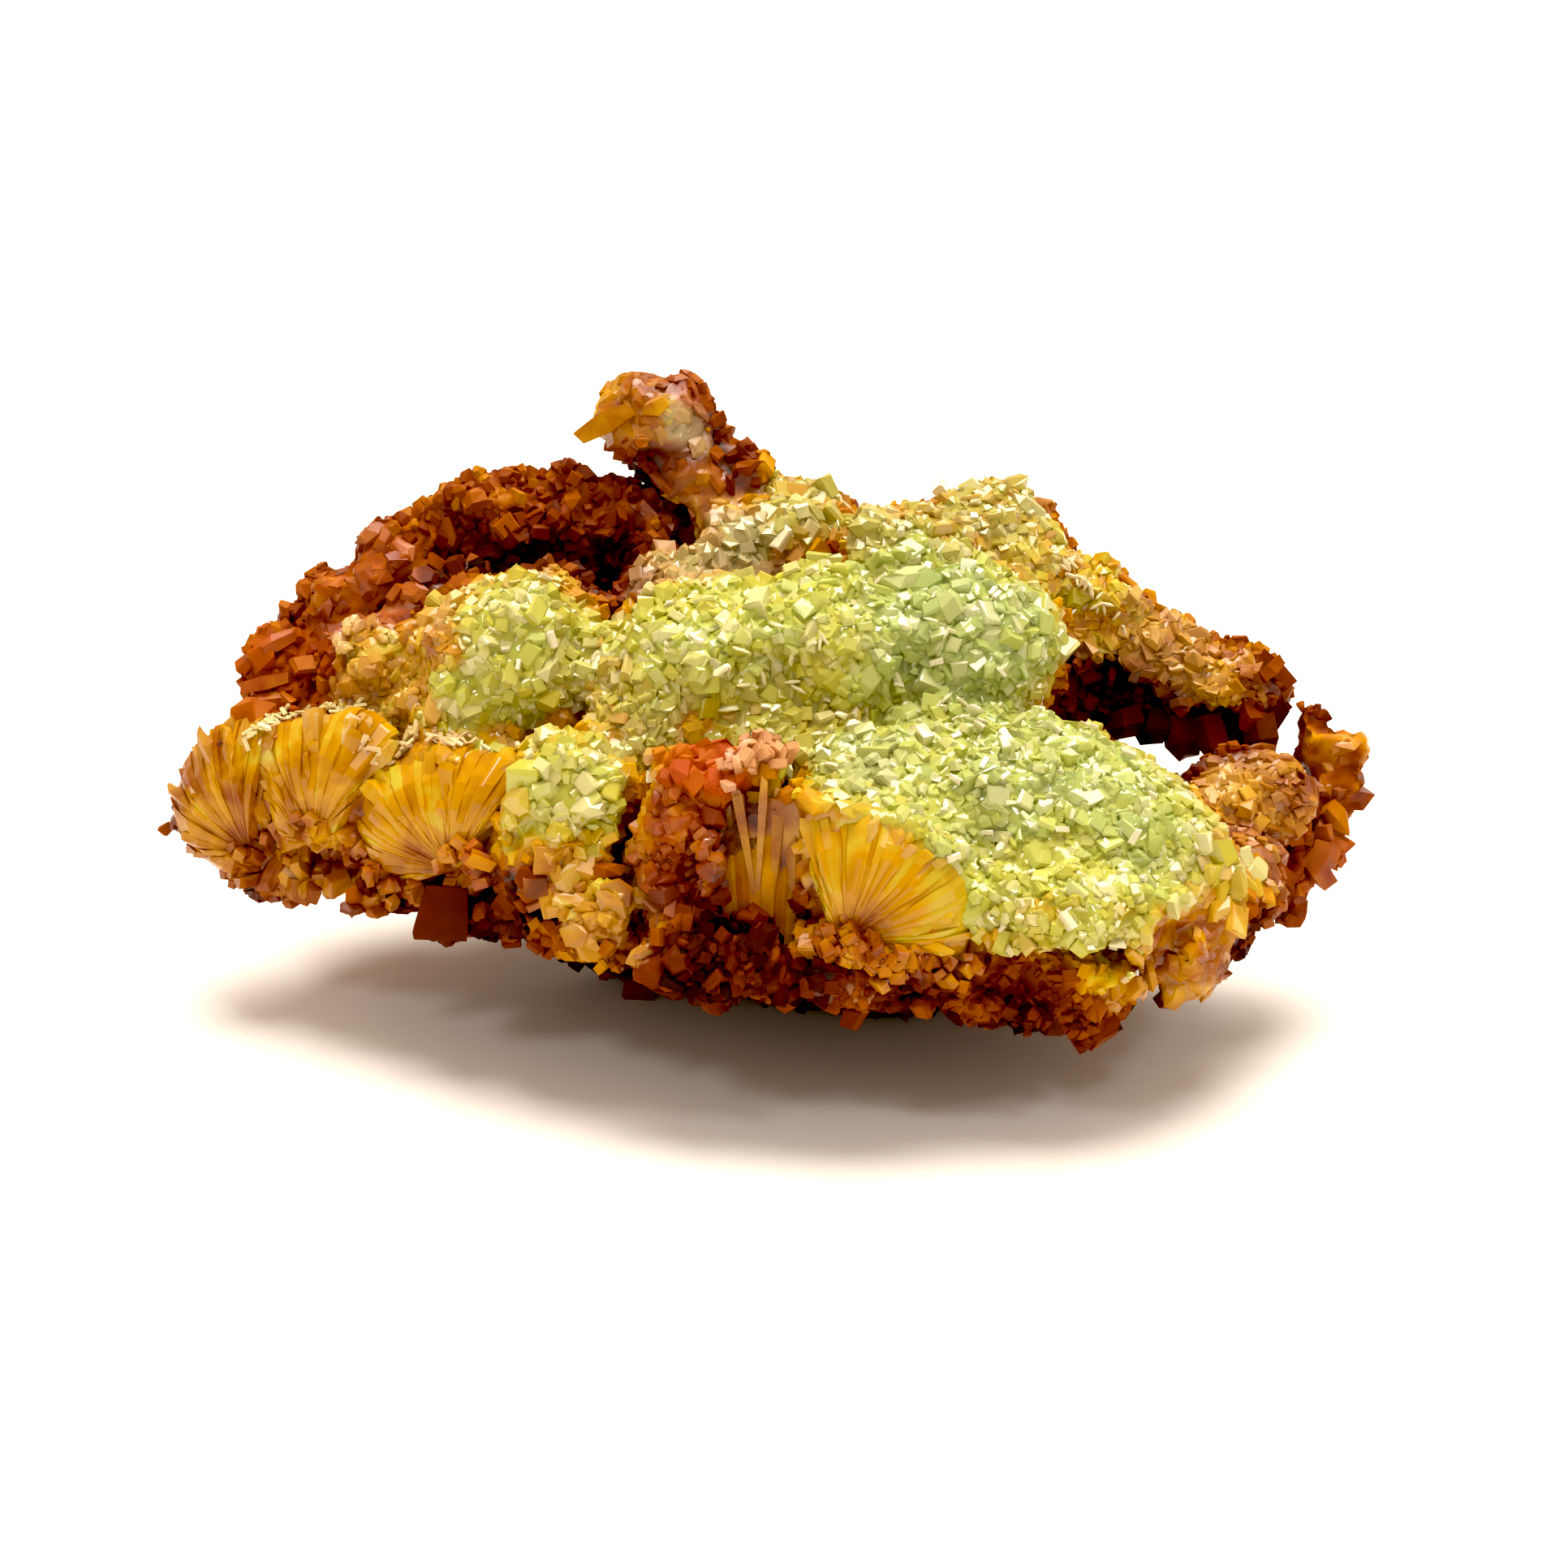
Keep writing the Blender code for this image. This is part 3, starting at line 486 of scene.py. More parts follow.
def scatter(points, tris, normals, zoneMap, rng):
    # even sites on a surface, spaced by the habit and size of their zone
    corners = points[tris]
    cross = np.cross(corners[:, 1] - corners[:, 0], corners[:, 2] - corners[:, 0])
    area = np.linalg.norm(cross, axis=1) / 2
    count = int(area.sum() / nature["spacing"] ** 2)
    picked = rng.choice(len(tris), count, p=area / area.sum())
    a, b = rng.random((2, count))
    beyond = a + b > 1
    a = np.where(beyond, 1 - a, a)
    b = np.where(beyond, 1 - b, b)
    weights = np.stack([1 - a - b, a, b], 1)
    sites = (corners[picked] * weights[:, :, None]).sum(1)
    out = (normals[tris[picked]] * weights[:, :, None]).sum(1)
    out /= np.linalg.norm(out, axis=1, keepdims=True)
    found, habit = zoneMap.at(sites)
    room = np.array([habits[h]["room"] for h in habit]) * found[:, 1] * rng.uniform(*nature["room"], count)
    tree = KDTree(count)
    for i, site in enumerate(sites):
        tree.insert(site, i)
    tree.balance()
    kept = np.ones(count, bool)
    for i in range(count):
        if kept[i]:
            for _, j, _ in tree.find_range(sites[i], room[i]):
                if j > i:
                    kept[j] = False
    return sites[kept], out[kept], found[kept], habit[kept], room[kept]


def unit(v):
    return v / np.maximum(np.linalg.norm(v, axis=1, keepdims=True), 1e-9)


def grow(sites, out, sizes, lean, sink, form, rng, away=None):
    # a crystal of one form on each site: points, faces, heights and how many points each has. Its width lies
    # across the direction "away", or anyhow
    shape, faces = forms[form]
    up = unit(out + lean * rng.normal(size=out.shape) * nature["tilt"])
    side = unit(np.cross(up, rng.normal(size=out.shape) if away is None else away))
    front = np.cross(up, side)
    uneven = rng.normal(0, nature["uneven"], (len(sites), *shape.shape))
    grown = (shape[None] + uneven) * sizes[:, None]
    skew = rng.normal(0, nature["skew"], (len(sites), 2)) * sizes[:, 2:3]
    x = grown[:, :, 0] + skew[:, :1] * shape[None, :, 2]
    y = grown[:, :, 1] + skew[:, 1:] * shape[None, :, 2]
    z = grown[:, :, 2] - sink * sizes[:, 2:3]
    points = sites[:, None]
    for along, axis in ((x, side), (y, front), (z, up)):
        points = points + along[..., None] * axis[:, None]
    starts = np.arange(len(sites)) * len(shape)
    allFaces = [[s + v for v in face] for s in starts.tolist() for face in faces]
    return points.reshape(-1, 3), allFaces, np.tile(shape[:, 2], len(sites)), len(shape)


class Bunch:
    # gathers crystals, then makes pieces of them
    def __init__(self):
        self.points, self.faces, self.count = [], [], 0
        self.values = {layer: [] for layer in layers}

    def add(self, points, faces, tip, each, **perCrystal):
        # crystals with one value each, but a height for each of their points
        self.addRaw(points, faces, tip=tip, **{k: np.repeat(value, each) for k, value in perCrystal.items()})

    def addRaw(self, points, faces, **values):
        # a mesh with its values for each point, or one for all
        self.faces += [[v + self.count for v in face] for face in faces]
        self.points.append(points)
        self.count += len(points)
        for layer, value in values.items():
            self.values[layer].append(np.broadcast_to(value, len(points)))

    def make(self, name, material, slot, node):
        values = {layer: np.concatenate(parts) for layer, parts in self.values.items()}
        points = np.concatenate(self.points)
        points[:, 2] = np.maximum(points[:, 2], bare["belowFoot"])
        piece = makePiece(name, points, self.faces, values, material)
        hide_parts(node)
        print(name, len(self.faces), "faces")


# Where no crystal of the druse grows, in millimetres: up to some height above the flat foot, and within some
# depth behind a fan's plane. No crystal reaches lower than the last one.
bare = {"foot": 0.8, "behindFans": 1.2, "belowFoot": 0.02}
# Openings that the photograph looks through, in its pixels
gaps = {
    "underArm": [(1412, 908), (1450, 910), (1484, 930), (1470, 958), (1440, 960), (1412, 936)],
    "besideArm": [(1596, 838), (1612, 868), (1622, 915), (1600, 926), (1545, 918), (1550, 892), (1588, 884)],
}
hangingFace = [(510, 1084), (590, 1084), (590, 1162), (512, 1162)]  # the squarish grain, in the same pixels


def growDruse(points, tris, normals, zoneMap, rng, bunches):
    sites, out, found, habit, room = scatter(points, tris, normals, zoneMap, rng)
    clear = sites[:, 2] > bare["foot"]
    clear &= clearOfFans(sites)[0] < -bare["behindFans"]
    clear &= ~insideOutline(pixelsOf(sites), hangingFace)
    for gap in gaps.values():
        clear &= ~insideOutline(pixelsOf(sites), gap)
    sites, out, found, habit, room = (a[clear] for a in (sites, out, found, habit, room))
    drusy = habit == "druse"
    addGlintFlakes(sites[drusy], out[drusy], found[drusy], rng, bunches["druse"])
    for name, spec in habits.items():
        pick = rng.integers(0, len(spec["forms"]), len(sites))
        for k, form in enumerate(spec["forms"]):
            mine = (habit == name) & (pick == k)
            n = int(mine.sum())
            if not n:
                continue
            scale = found[mine, 1] * rng.lognormal(0, spec["spread"], n)
            sizes = np.stack([spec["width"] * scale * rng.uniform(*nature["long"], n),
                              spec["width"] * scale * rng.uniform(*nature["broad"], n),
                              spec["height"] * scale * rng.uniform(*nature["high"], n)], 1)
            # painted highlight: a few green crystals are mixed toward pale cream, standing for glints on their
            # facets
            green = np.clip((nature["greenEnd"] - found[mine, 0]) * nature["greenEdge"], 0, 1)
            look = dict(tint=found[mine, 0], smoke=found[mine, 2], blush=found[mine, 3],
                        pale=spec["bright"] * green * rng.random(n) ** 3, own=rng.random(n))
            at, up = sites[mine], out[mine]
            for bunch, part in shared(name, found[mine, 0], at):
                grown = grow(at[part], up[part], sizes[part], spec["lean"], spec["sink"], form, rng)
                bunches[bunch].add(*grown, **{layer: value[part] for layer, value in look.items()})


stainedFrom = 0.5  # tint from which crystals hold iron
backFrom = 1.0  # y from which grains belong to the back, in millimetres


def shared(habit, tint, sites):
    # the bunch that each crystal goes to
    if habit == "grains":
        back = sites[:, 1] >= backFrom
        return ("grains", ~back), ("backGrains", back)
    clean = "druse" if habit == "druse" else "facets"
    return (clean, tint < stainedFrom), ("stained", tint >= stainedFrom)


# Thin flakes lying on the druse, coloured nearly white as painted glints, small bright dashes: their share of
# the sites, size in millimetres and how much it differs, how far they are raised, their lean, the share of them
# that is sunk, how pale they are, which is the painted glint, and the tint from which there are none
glintFlakes = {
    "share": 0.0352,
    "size": (0.65, 0.26, 0.22),
    "spread": 0.35,
    "raise": 0.16,
    "lean": 0.35,
    "sink": 0.2,
    "pale": 0.9,
    "mostTint": 0.5,
}


def addGlintFlakes(sites, out, found, rng, bunch):
    count = int(len(sites) * glintFlakes["share"])
    picked = rng.choice(np.flatnonzero(found[:, 0] < glintFlakes["mostTint"]), count, replace=False)
    sizes = np.array(glintFlakes["size"]) * rng.lognormal(0, glintFlakes["spread"], (count, 1))
    raised = sites[picked] + out[picked] * glintFlakes["raise"]
    grown = grow(raised, out[picked], sizes, glintFlakes["lean"], glintFlakes["sink"], "block", rng)
    none = np.zeros(count)
    # their near-white pale is a painted glint
    look = dict(tint=found[picked, 0], smoke=none, blush=none, pale=none + glintFlakes["pale"])
    bunch.add(*grown, **look, own=rng.random(count))


# Fans of blades, broken across so that their fronts show. Each lies on a plane through a point in millimetres,
# which faces the front, turned and leant by some degrees. The root and rim are pixels of the photograph there.
# Then come how many blades the sheet has, how far their fronts step, how far out from the root they start, how
# uneven they are, how many single blades are laid over each of them, how many of those are flat, how pale they
# end, and the tint at the start, middle and rim.
fans = {
    "lobe": dict(
        at=(-25.5, -2.1, 8.2), turn=-22, lean=7, root=(306, 1048),
        rim=((272, 1088), (240, 1064), (204, 1032), (193, 985), (214, 938), (241, 900), (285, 889),
             (322, 893)),
        blades=24, step=0.035, start=0.06, chips=0.035, laid=1.5, flat=0.5, pale=0.1, tint=(0.7, 0.62, 0.58),
    ),
    "leftFan": dict(
        at=(-22.0, -3.6, 10.2), turn=-24, lean=8, root=(388, 1036),
        rim=((336, 1056), (318, 1000), (308, 935), (318, 896), (350, 884), (395, 876), (440, 880), (474, 906),
             (452, 960), (430, 1020)),
        blades=26, step=0.035, start=0.06, chips=0.035, laid=1.5, flat=0.5, pale=0.2, tint=(0.61, 0.55, 0.5),
    ),
    "middleFan": dict(
        at=(-15.7, -7.2, 9.9), turn=-26, lean=8, root=(556, 1072),
        rim=((500, 1090), (440, 1072), (414, 1020), (436, 960), (500, 934), (570, 924), (642, 934),
             (638, 962), (606, 1020), (590, 1056)),
        blades=34, step=0.02, start=0.05, chips=0.015, laid=0.5, flat=0.7, pale=0.1, tint=(0.64, 0.54, 0.5),
    ),
    "yellowFan": dict(
        at=(2.9, -15.4, 10.2), turn=-4, lean=7, root=(1042, 1158),
        rim=((1008, 1120), (993, 1055), (992, 1000), (1060, 994), (1124, 1018), (1165, 1056),
             (1197, 1090), (1207, 1142), (1194, 1186), (1096, 1182)),
        blades=36, step=0.018, start=0.05, chips=0.012, laid=0.6, flat=0.7, pale=0.1, tint=(0.6, 0.49, 0.46),
    ),
    "panel": dict(
        at=(-1.4, -13.4, 11.0), turn=-8, lean=10, root=(945, 1500),
        rim=((872, 985), (905, 958), (955, 962), (992, 1000)),
        blades=8, step=0.08, start=0.7, chips=0.04, laid=1.5, flat=0.8, pale=0.1, tint=(0.7, 0.62, 0.58),
    ),
}
# The sheet in millimetres: its depth, each blade's ridge, the bevel at the rim, the bulge, the room that the
# skin leaves, how far behind the plane it starts, and how near to it a point counts as covered. Then shares of
# the way out: how far it goes inside the rim, where its rows are, how far rows and edges wander, the ranges of
# a blade's length and of its ridge's place, how much of its step it has at the root, and its tip's paleness.
fanShape = {
    "depth": 1.7,
    "ridge": 0.03,
    "bevel": 1.0,
    "bevelPower": 5,
    "bulge": 0.5,
    "clear": 0.35,
    "back": 0.08,
    "near": 5,
    "inside": 0.97,
    "rows": (0, 0.2, 0.4, 0.6, 0.8, 0.93, 1.0),
    "rowWander": 0.07,
    "edgeWander": 0.4,
    "long": (0.96, 1.03),
    "ridgeAt": (0.25, 0.75),
    "rootStep": 0.3,
    "tip": 0.5,
}
# The single blades laid over it: thickness in millimetres, lean, the range of their length, their stray, how
# far they reach and how much that differs, how many crowd at the rim, the range of their width, where the pale
# ends start and how unlike each other the blades are
fanBlades = {
    "thick": 0.8,
    "lean": 0.025,
    "shortest": 0.25,
    "longest": 0.7,
    "stray": 0.25,
    "reach": 0.97,
    "reachSpread": 0.02,
    "crowd": 0.6,
    "wide": (0.7, 1.9),
    "paleFrom": 0.8,
    "unlike": 0.45,
}


def planeOf(fan):
    turn, lean = math.radians(fan["turn"]), math.radians(fan["lean"])
    facing = Vector((math.sin(turn) * math.cos(lean), -math.cos(turn) * math.cos(lean), math.sin(lean)))
    return Vector(fan["at"]), facing


def onPlane(fan, px, py):
    at, facing = planeOf(fan)
    start, ray = pixelRay(px, py)
    return np.array(start + ray * ((at - start).dot(facing) / ray.dot(facing)))


def fanOutline(fan):
    # the fan in the photograph's pixels, from its start to its rim
    root, rim = np.array(fan["root"]), np.array(fan["rim"])
    inner = root + (rim[::-1] - root) * fan["start"]
    return [tuple(p) for p in np.concatenate([rim, inner])]


def clearOfFans(points):
    # how far each point stands in front of a fan's plane where the fan is, and that plane's facing
    farBehind = -99.0  # what a point gets where no fan is
    front = np.full(len(points), farBehind)
    facings = np.zeros((len(points), 3))
    spots = pixelsOf(points)
    for fan in fans.values():
        at, facing = (np.array(v) for v in planeOf(fan))
        high = (points - at) @ facing
        covered = insideOutline(spots, fanOutline(fan)) & (np.abs(high) < fanShape["near"])
        front[covered] = high[covered]
        facings[covered] = facing
    return front, facings


def fanTint(fan, share):
    # the tint at a share of the way from the fan's start to its rim
    return np.interp(share, (0, 0.5, 1), fan["tint"])


def domed(t):
    # how high a fan stands off its plane at a share of the way out: it swells, then turns down to its rim
    return fanShape["bulge"] * (1 - (2 * t - 1) ** 2) - fanShape["bevel"] * t ** fanShape["bevelPower"]


def makeFans(rng, bunch):
    for name, fan in fans.items():
        facing = np.array(planeOf(fan)[1])
        root = onPlane(fan, *fan["root"])
        rim = np.array([onPlane(fan, *p) for p in fan["rim"]])
        walked = np.concatenate([[0], np.cumsum(np.linalg.norm(np.diff(rim, axis=0), axis=1))])
        laySheet(fan, root, rim, walked, facing, rng, bunch)
        layBlades(fan, root, rim, walked, facing, rng, bunch)
        print("fan", name, "laid")


def laySheet(fan, root, rim, walked, facing, rng, bunch):
    # one closed, domed sheet: each blade is three columns of points, with its ridge in the middle
    edges = np.linspace(0, walked[-1], fan["blades"] + 1)
    edges[1:-1] += rng.normal(0, fanShape["edgeWander"], fan["blades"] - 1) * edges[1]
    edges.sort()
    rowsAt = np.array(fanShape["rows"])
    inner = len(rowsAt) - 2
    inside = fanShape["inside"]
    columns = []
    for i in range(fan["blades"]):
        high = rng.uniform(-fan["step"], fan["step"])
        long = rng.uniform(*fanShape["long"])
        own = rng.random()
        ridge = rng.uniform(*fanShape["ridgeAt"])
        chips = rng.normal(0, fan["chips"], len(rowsAt))
        wandered = rowsAt[1:-1] + rng.normal(0, fanShape["rowWander"], inner)
        mine = np.sort(np.concatenate([[0], wandered, [1]]).clip(0, 1))
        steps = fan["start"] + (1 - fan["start"]) * mine
        for share, lift in ((0, 0), (ridge, fanShape["ridge"]), (1, 0)):
            place = edges[i] + (edges[i + 1] - edges[i]) * share
            run = np.array([np.interp(place, walked, rim[:, k]) for k in range(3)]) - root
            columns.append((run, high + lift + chips, long, steps, own))
    points, along, owns = [], [], []
    behind = (1.0, fan["start"])
    for run, heights, long, steps, own in columns:
        for t, high in zip(steps, heights):
            grown = fanShape["rootStep"] + (1 - fanShape["rootStep"]) * t
            raised = high * grown + domed(t) - fanShape["back"]
            points.append(root + run * t * long * inside + facing * raised)
        for t in behind:
            points.append(root + run * t * long * inside - facing * fanShape["depth"])
        along += [*steps, *behind]
        owns += [own] * (len(rowsAt) + len(behind))
    ring = len(rowsAt) + len(behind)
    faces = [(c * ring + k, (c + 1) * ring + k, (c + 1) * ring + (k + 1) % ring, c * ring + (k + 1) % ring)
             for c in range(len(columns) - 1) for k in range(ring)]
    faces += [tuple(reversed(range(ring))), tuple(range(len(points) - ring, len(points)))]
    share = (np.array(along) - fan["start"]) / (1 - fan["start"])
    look = dict(tint=fanTint(fan, share), smoke=0, blush=0, pale=0, tip=share * fanShape["tip"])
    bunch.addRaw(np.array(points), faces, **look, own=np.array(owns))


def layBlades(fan, root, rim, walked, facing, rng, bunch):
    # single blades that spread from the root over the sheet and end at different lengths
    count = round(fan["blades"] * fan["laid"])
    place = rng.uniform(0, walked[-1], count)
    ends = np.stack([np.interp(place, walked, rim[:, k]) for k in range(3)], 1)
    run = ends - root
    length = np.linalg.norm(run, axis=1)
    long = rng.uniform(fanBlades["shortest"], fanBlades["longest"], count)
    limit = fanBlades["reach"] + rng.normal(0, fanBlades["reachSpread"], count)
    far = np.minimum(limit, fan["start"] + long + rng.random(count) ** fanBlades["crowd"])
    near = np.maximum(far - long, fan["start"])
    raised = domed(near) - fanBlades["thick"] / 2 + rng.normal(0, fan["step"], count)
    across = unit(np.cross(run, facing)) * rng.normal(0, fanBlades["stray"], (count, 1))
    feet = root + run * near[:, None] + facing * raised[:, None] + across
    run = run - across * 0.5 + facing * ((domed(far) - domed(near)) / (far - near))[:, None]
    wide = walked[-1] / fan["blades"] * far * rng.uniform(*fanBlades["wide"], count)
    sizes = np.stack([wide, np.full(count, fanBlades["thick"]), length * (far - near)], 1)
    flat = rng.random(count) < fan["flat"]
    for form, mine in (("blade", flat), ("ridged", ~flat)):
        away = np.broadcast_to(facing, run[mine].shape)
        up = unit(run[mine])
        grown = grow(feet[mine], up, sizes[mine], fanBlades["lean"], 0, form, rng, away=away)
        points, faces, heights, each = grown
        share = np.repeat(near[mine], each) + np.repeat((far - near)[mine], each) * heights
        tint = fanTint(fan, (share - fan["start"]) / (1 - fan["start"]))
        pale = np.repeat(fan["pale"] * rng.random(mine.sum()) ** 2, each) * (share > fanBlades["paleFrom"])
        own = np.repeat(0.5 + fanBlades["unlike"] * (rng.random(mine.sum()) - 0.5), each)
        look = dict(tint=tint, smoke=0, blush=0, pale=pale, tip=share * fanShape["tip"], own=own)
        bunch.addRaw(points, faces, **look)


# Rows of single crystals that the photograph shows: the line they follow in its pixels, how many, their size in
# millimetres, how far they stray from the line, their lean, how far they are lifted onto a fan, the share of
# them that is sunk, their form and their look. What a row leaves out is as in the plain one below.
rows = {
    "lobeCrest": dict(
        line=((262, 893), (345, 880), (430, 874), (484, 900)), count=110, size=(0.9, 0.28, 0.16),
        stray=0.3, lean=0.5, form="block", look=dict(tint=0.44, pale=0.5),
    ),
    "middleCrest": dict(
        line=((440, 958), (455, 918), (505, 905), (575, 915)), count=100, size=(0.9, 0.28, 0.16),
        stray=0.35, lean=0.5, form="block", look=dict(tint=0.5, pale=0.4, blush=0.15),
    ),
    "lobeRoots": dict(
        line=((250, 1085), (300, 1062), (335, 1045)), count=60, size=(1.0, 0.8, 1.1),
        stray=0.4, lean=0.45, lift=0.3, sink=0.65, form="block", look=dict(tint=0.69),
    ),
    "leftRoots": dict(
        line=((335, 1045), (388, 1020), (430, 1030), (455, 1065)), count=110, size=(1.0, 0.8, 1.1),
        stray=0.5, lean=0.45, lift=0.3, sink=0.65, form="block", look=dict(tint=0.67),
    ),
    "middleRoots": dict(
        line=((455, 1075), (510, 1085), (556, 1062), (600, 1060)), count=100, size=(1.0, 0.8, 1.1),
        stray=0.45, lean=0.45, lift=0.4, sink=0.65, form="block", look=dict(tint=0.68, blush=0.15),
    ),
    "yellowRoots": dict(
        line=((985, 1150), (1040, 1160), (1095, 1188), (1190, 1192)), count=120, size=(0.9, 0.7, 1.0),
        stray=0.4, lean=0.45, lift=0.25, sink=0.65, form="block", look=dict(tint=0.67),
    ),
    "palePoints": dict(
        line=((412, 800), (435, 775), (485, 785)), count=14, size=(0.8, 0.5, 0.6),
        stray=0.4, lean=0.4, look=dict(tint=0.52, pale=0.25, blush=0.15),
    ),
    # a pink blush, and a pale share that is a painted highlight on lit facets
    "pinkHighlightFacets": dict(
        line=((900, 945), (930, 925), (968, 940)), count=30, size=(0.9, 0.6, 0.8),
        stray=0.4, lean=0.4, form="block", look=dict(tint=0.6, pale=0.2, blush=0.5),
    ),
    "armGlint": dict(
        line=((1308, 690), (1340, 722), (1388, 780)), count=22, size=(0.8, 0.2, 0.2),
        stray=0.14, lean=0.4, look=dict(tint=0.45, pale=0.7),
    ),
    # pale needles: painted glints that stand for elongated bright reflections
    "greyGlintNeedles": dict(
        line=((1120, 770), (1185, 800), (1150, 860), (1200, 880)), count=16, size=(0.9, 0.2, 0.3),
        stray=1.0, lean=0.15, look=dict(tint=0.1, pale=0.8),
    ),
    "limeGlintNeedles": dict(
        line=((880, 820), (960, 830), (1000, 800)), count=12, size=(0.9, 0.2, 0.3),
        stray=0.9, lean=0.15, look=dict(tint=0.2, pale=0.7),
    ),
}
plainRow = {"lift": 0, "sink": 0.2, "form": "stub", "uneven": (0.7, 1.25)}
plainLook = {"smoke": 0, "blush": 0, "pale": 0}


def makeRows(rng, bunch):
    for name, row in rows.items():
        row = {**plainRow, **row}
        line = np.array([tuple(onSurface(*p)) for p in row["line"]])
        t = rng.random(row["count"]) * (len(line) - 1)
        start = np.minimum(t.astype(int), len(line) - 2)
        sites = line[start] + (line[start + 1] - line[start]) * (t - start)[:, None]
        sites += rng.normal(0, row["stray"], sites.shape)
        landed = [surface.find_nearest(Vector(p))[:2] for p in sites]
        sites = np.array([tuple(place) for place, _ in landed])
        out = np.array([tuple(normal) for _, normal in landed])
        sites += out * row["lift"]
        sizes = np.array(row["size"]) * rng.uniform(*row["uneven"], (row["count"], 1))
        grown = grow(sites, out, sizes, row["lean"], row["sink"], row["form"], rng)
        look = {layer: np.full(row["count"], value) for layer, value in {**plainLook, **row["look"]}.items()}
        bunch.add(*grown, **look, own=rng.random(row["count"]))
        print("row", name, "set")


# Spurs that stand out from the edge: base and tip in the photograph's pixels, width and thickness in
# millimetres, tint, blush and form.
spurs = {
    "rimNotch": ((1640, 1000), (1666, 1022), 1.4, 0.9, 0.76, 0.1, "point"),
    "rimFoot": ((1622, 1050), (1650, 1060), 1.7, 1.0, 0.72, 0.15, "stub"),
    "rimDrop": ((1615, 1060), (1643, 1089), 1.6, 1.0, 0.72, 0.15, "roof"),
    "beak": ((765, 515), (722, 548), 1.5, 1.1, 0.68, 0, "roof"),
    "armTooth": ((1560, 815), (1592, 845), 1.3, 0.9, 0.75, 0, "roof"),
    "armHook": ((1560, 830), (1580, 812), 1.0, 0.8, 0.77, 0, "roof"),
    "underArmA": ((1388, 880), (1394, 908), 2.2, 1.6, 0.93, 0, "stub"),
    "underArmB": ((1420, 885), (1424, 916), 2.0, 1.6, 0.92, 0, "stub"),
    "underArmC": ((1452, 890), (1460, 934), 2.0, 1.6, 0.9, 0, "stub"),
    "underArmD": ((1487, 893), (1494, 942), 2.2, 1.6, 0.91, 0, "stub"),
    "underArmE": ((1522, 893), (1527, 938), 2.2, 1.6, 0.9, 0, "stub"),
    "underArmF": ((1553, 890), (1558, 930), 2.0, 1.6, 0.88, 0, "stub"),
    "redSpurTop": ((355, 785), (324, 797), 1.0, 0.8, 0.72, 0.3, "stub"),
    "redSpurMiddle": ((345, 835), (297, 834), 1.0, 0.8, 0.73, 0.3, "roof"),
    "redSpurLow": ((340, 862), (299, 863), 1.0, 0.8, 0.72, 0.3, "stub"),
    "hangingBlock": ((551, 1106), (550, 1159), 3.7, 3.6, 0.95, 0.1, "block"),
}
# The tint from which a spur is limonite and belongs to the matrix, its length as a share of the way from base
# to tip, and the share of it that is sunk
spurNature = {"rusty": 0.74, "length": 1.25, "sink": 0.2}


def makeSpurs(rng, crust, matrix):
    middle = view["photoSide"] / 2
    toward = pixelRay(middle, middle)[1]
    away = np.array([tuple(toward)])
    for base, tip, width, thick, tint, blush, form in spurs.values():
        foot = onSurface(*base)
        start, ray = pixelRay(*tip)
        end = start + ray * ((foot - start).dot(toward) / ray.dot(toward))
        site = np.array([tuple(foot)])
        out = np.array([tuple((end - foot).normalized())])
        sizes = np.array([[width, thick, (end - foot).length * spurNature["length"]]])
        grown = grow(site, out, sizes, 0, spurNature["sink"], form, rng, away=away)
        look = {**plainLook, "tint": tint, "blush": blush, "own": rng.random()}
        bunch = matrix if tint > spurNature["rusty"] else crust
        bunch.add(*grown, **{layer: np.array([value]) for layer, value in look.items()})
    print(len(spurs), "spurs set")


# The colours that the zones' tint runs through, in adamite and limonite alike
tintStops = {
    0: "#B0C578", 0.12: "#BACD6F", 0.25: "#CCD25C", 0.4: "#C8BC3A", 0.5: "#C99210", 0.6: "#B07610",
    0.7: "#96500A", 0.8: "#723006", 0.9: "#421602", 1: "#180400",
}
# Adamite: clear to cloudy zinc arsenate crystals with a glassy lustre, grown free into a cavity. The eye gets
# grey-green to honey crystals with paler tips, sharp glints, many of them painted as pale facets and flakes,
# and depth between them. Stained adamite holds iron: the same crystals, nearly closed to light, with a duller
# face.
adamiteLooks = {
    "adamite": {"gloss": 0.28, "clearGreen": 0.32, "clearAmber": 0.12},
    "adamiteStained": {"gloss": 0.15, "clearGreen": 0.2, "clearAmber": 0.12},
}
# What both share. The cloud and the stain are widths in millimetres. The last six say where each effect
# starts and ends, and how strong it gets.
adamiteBody = {
    "ior": 1.74,
    "smoke": "#A3967A",
    "blush": "#C4552E",
    # the pale cream, both the crystals' own pale colour and the painted glints
    "pale": "#F8F0CE",
    "cloud": 1.111,
    "stain": 2.381,
    "own": {"To Min": -0.045, "To Max": 0.045},
    "iron": {"From Min": 0.42, "From Max": 0.55, "To Max": 0.6},
    "tip": {"From Min": 0.4, "From Max": 1.0, "To Max": 0.25},
    "clear": {"From Min": 0.36, "From Max": 0.56},
    "fine": {"To Min": 0.02, "To Max": 0.18},
    "dull": {"From Min": 0.45, "From Max": 0.85, "To Max": 0.4},
}


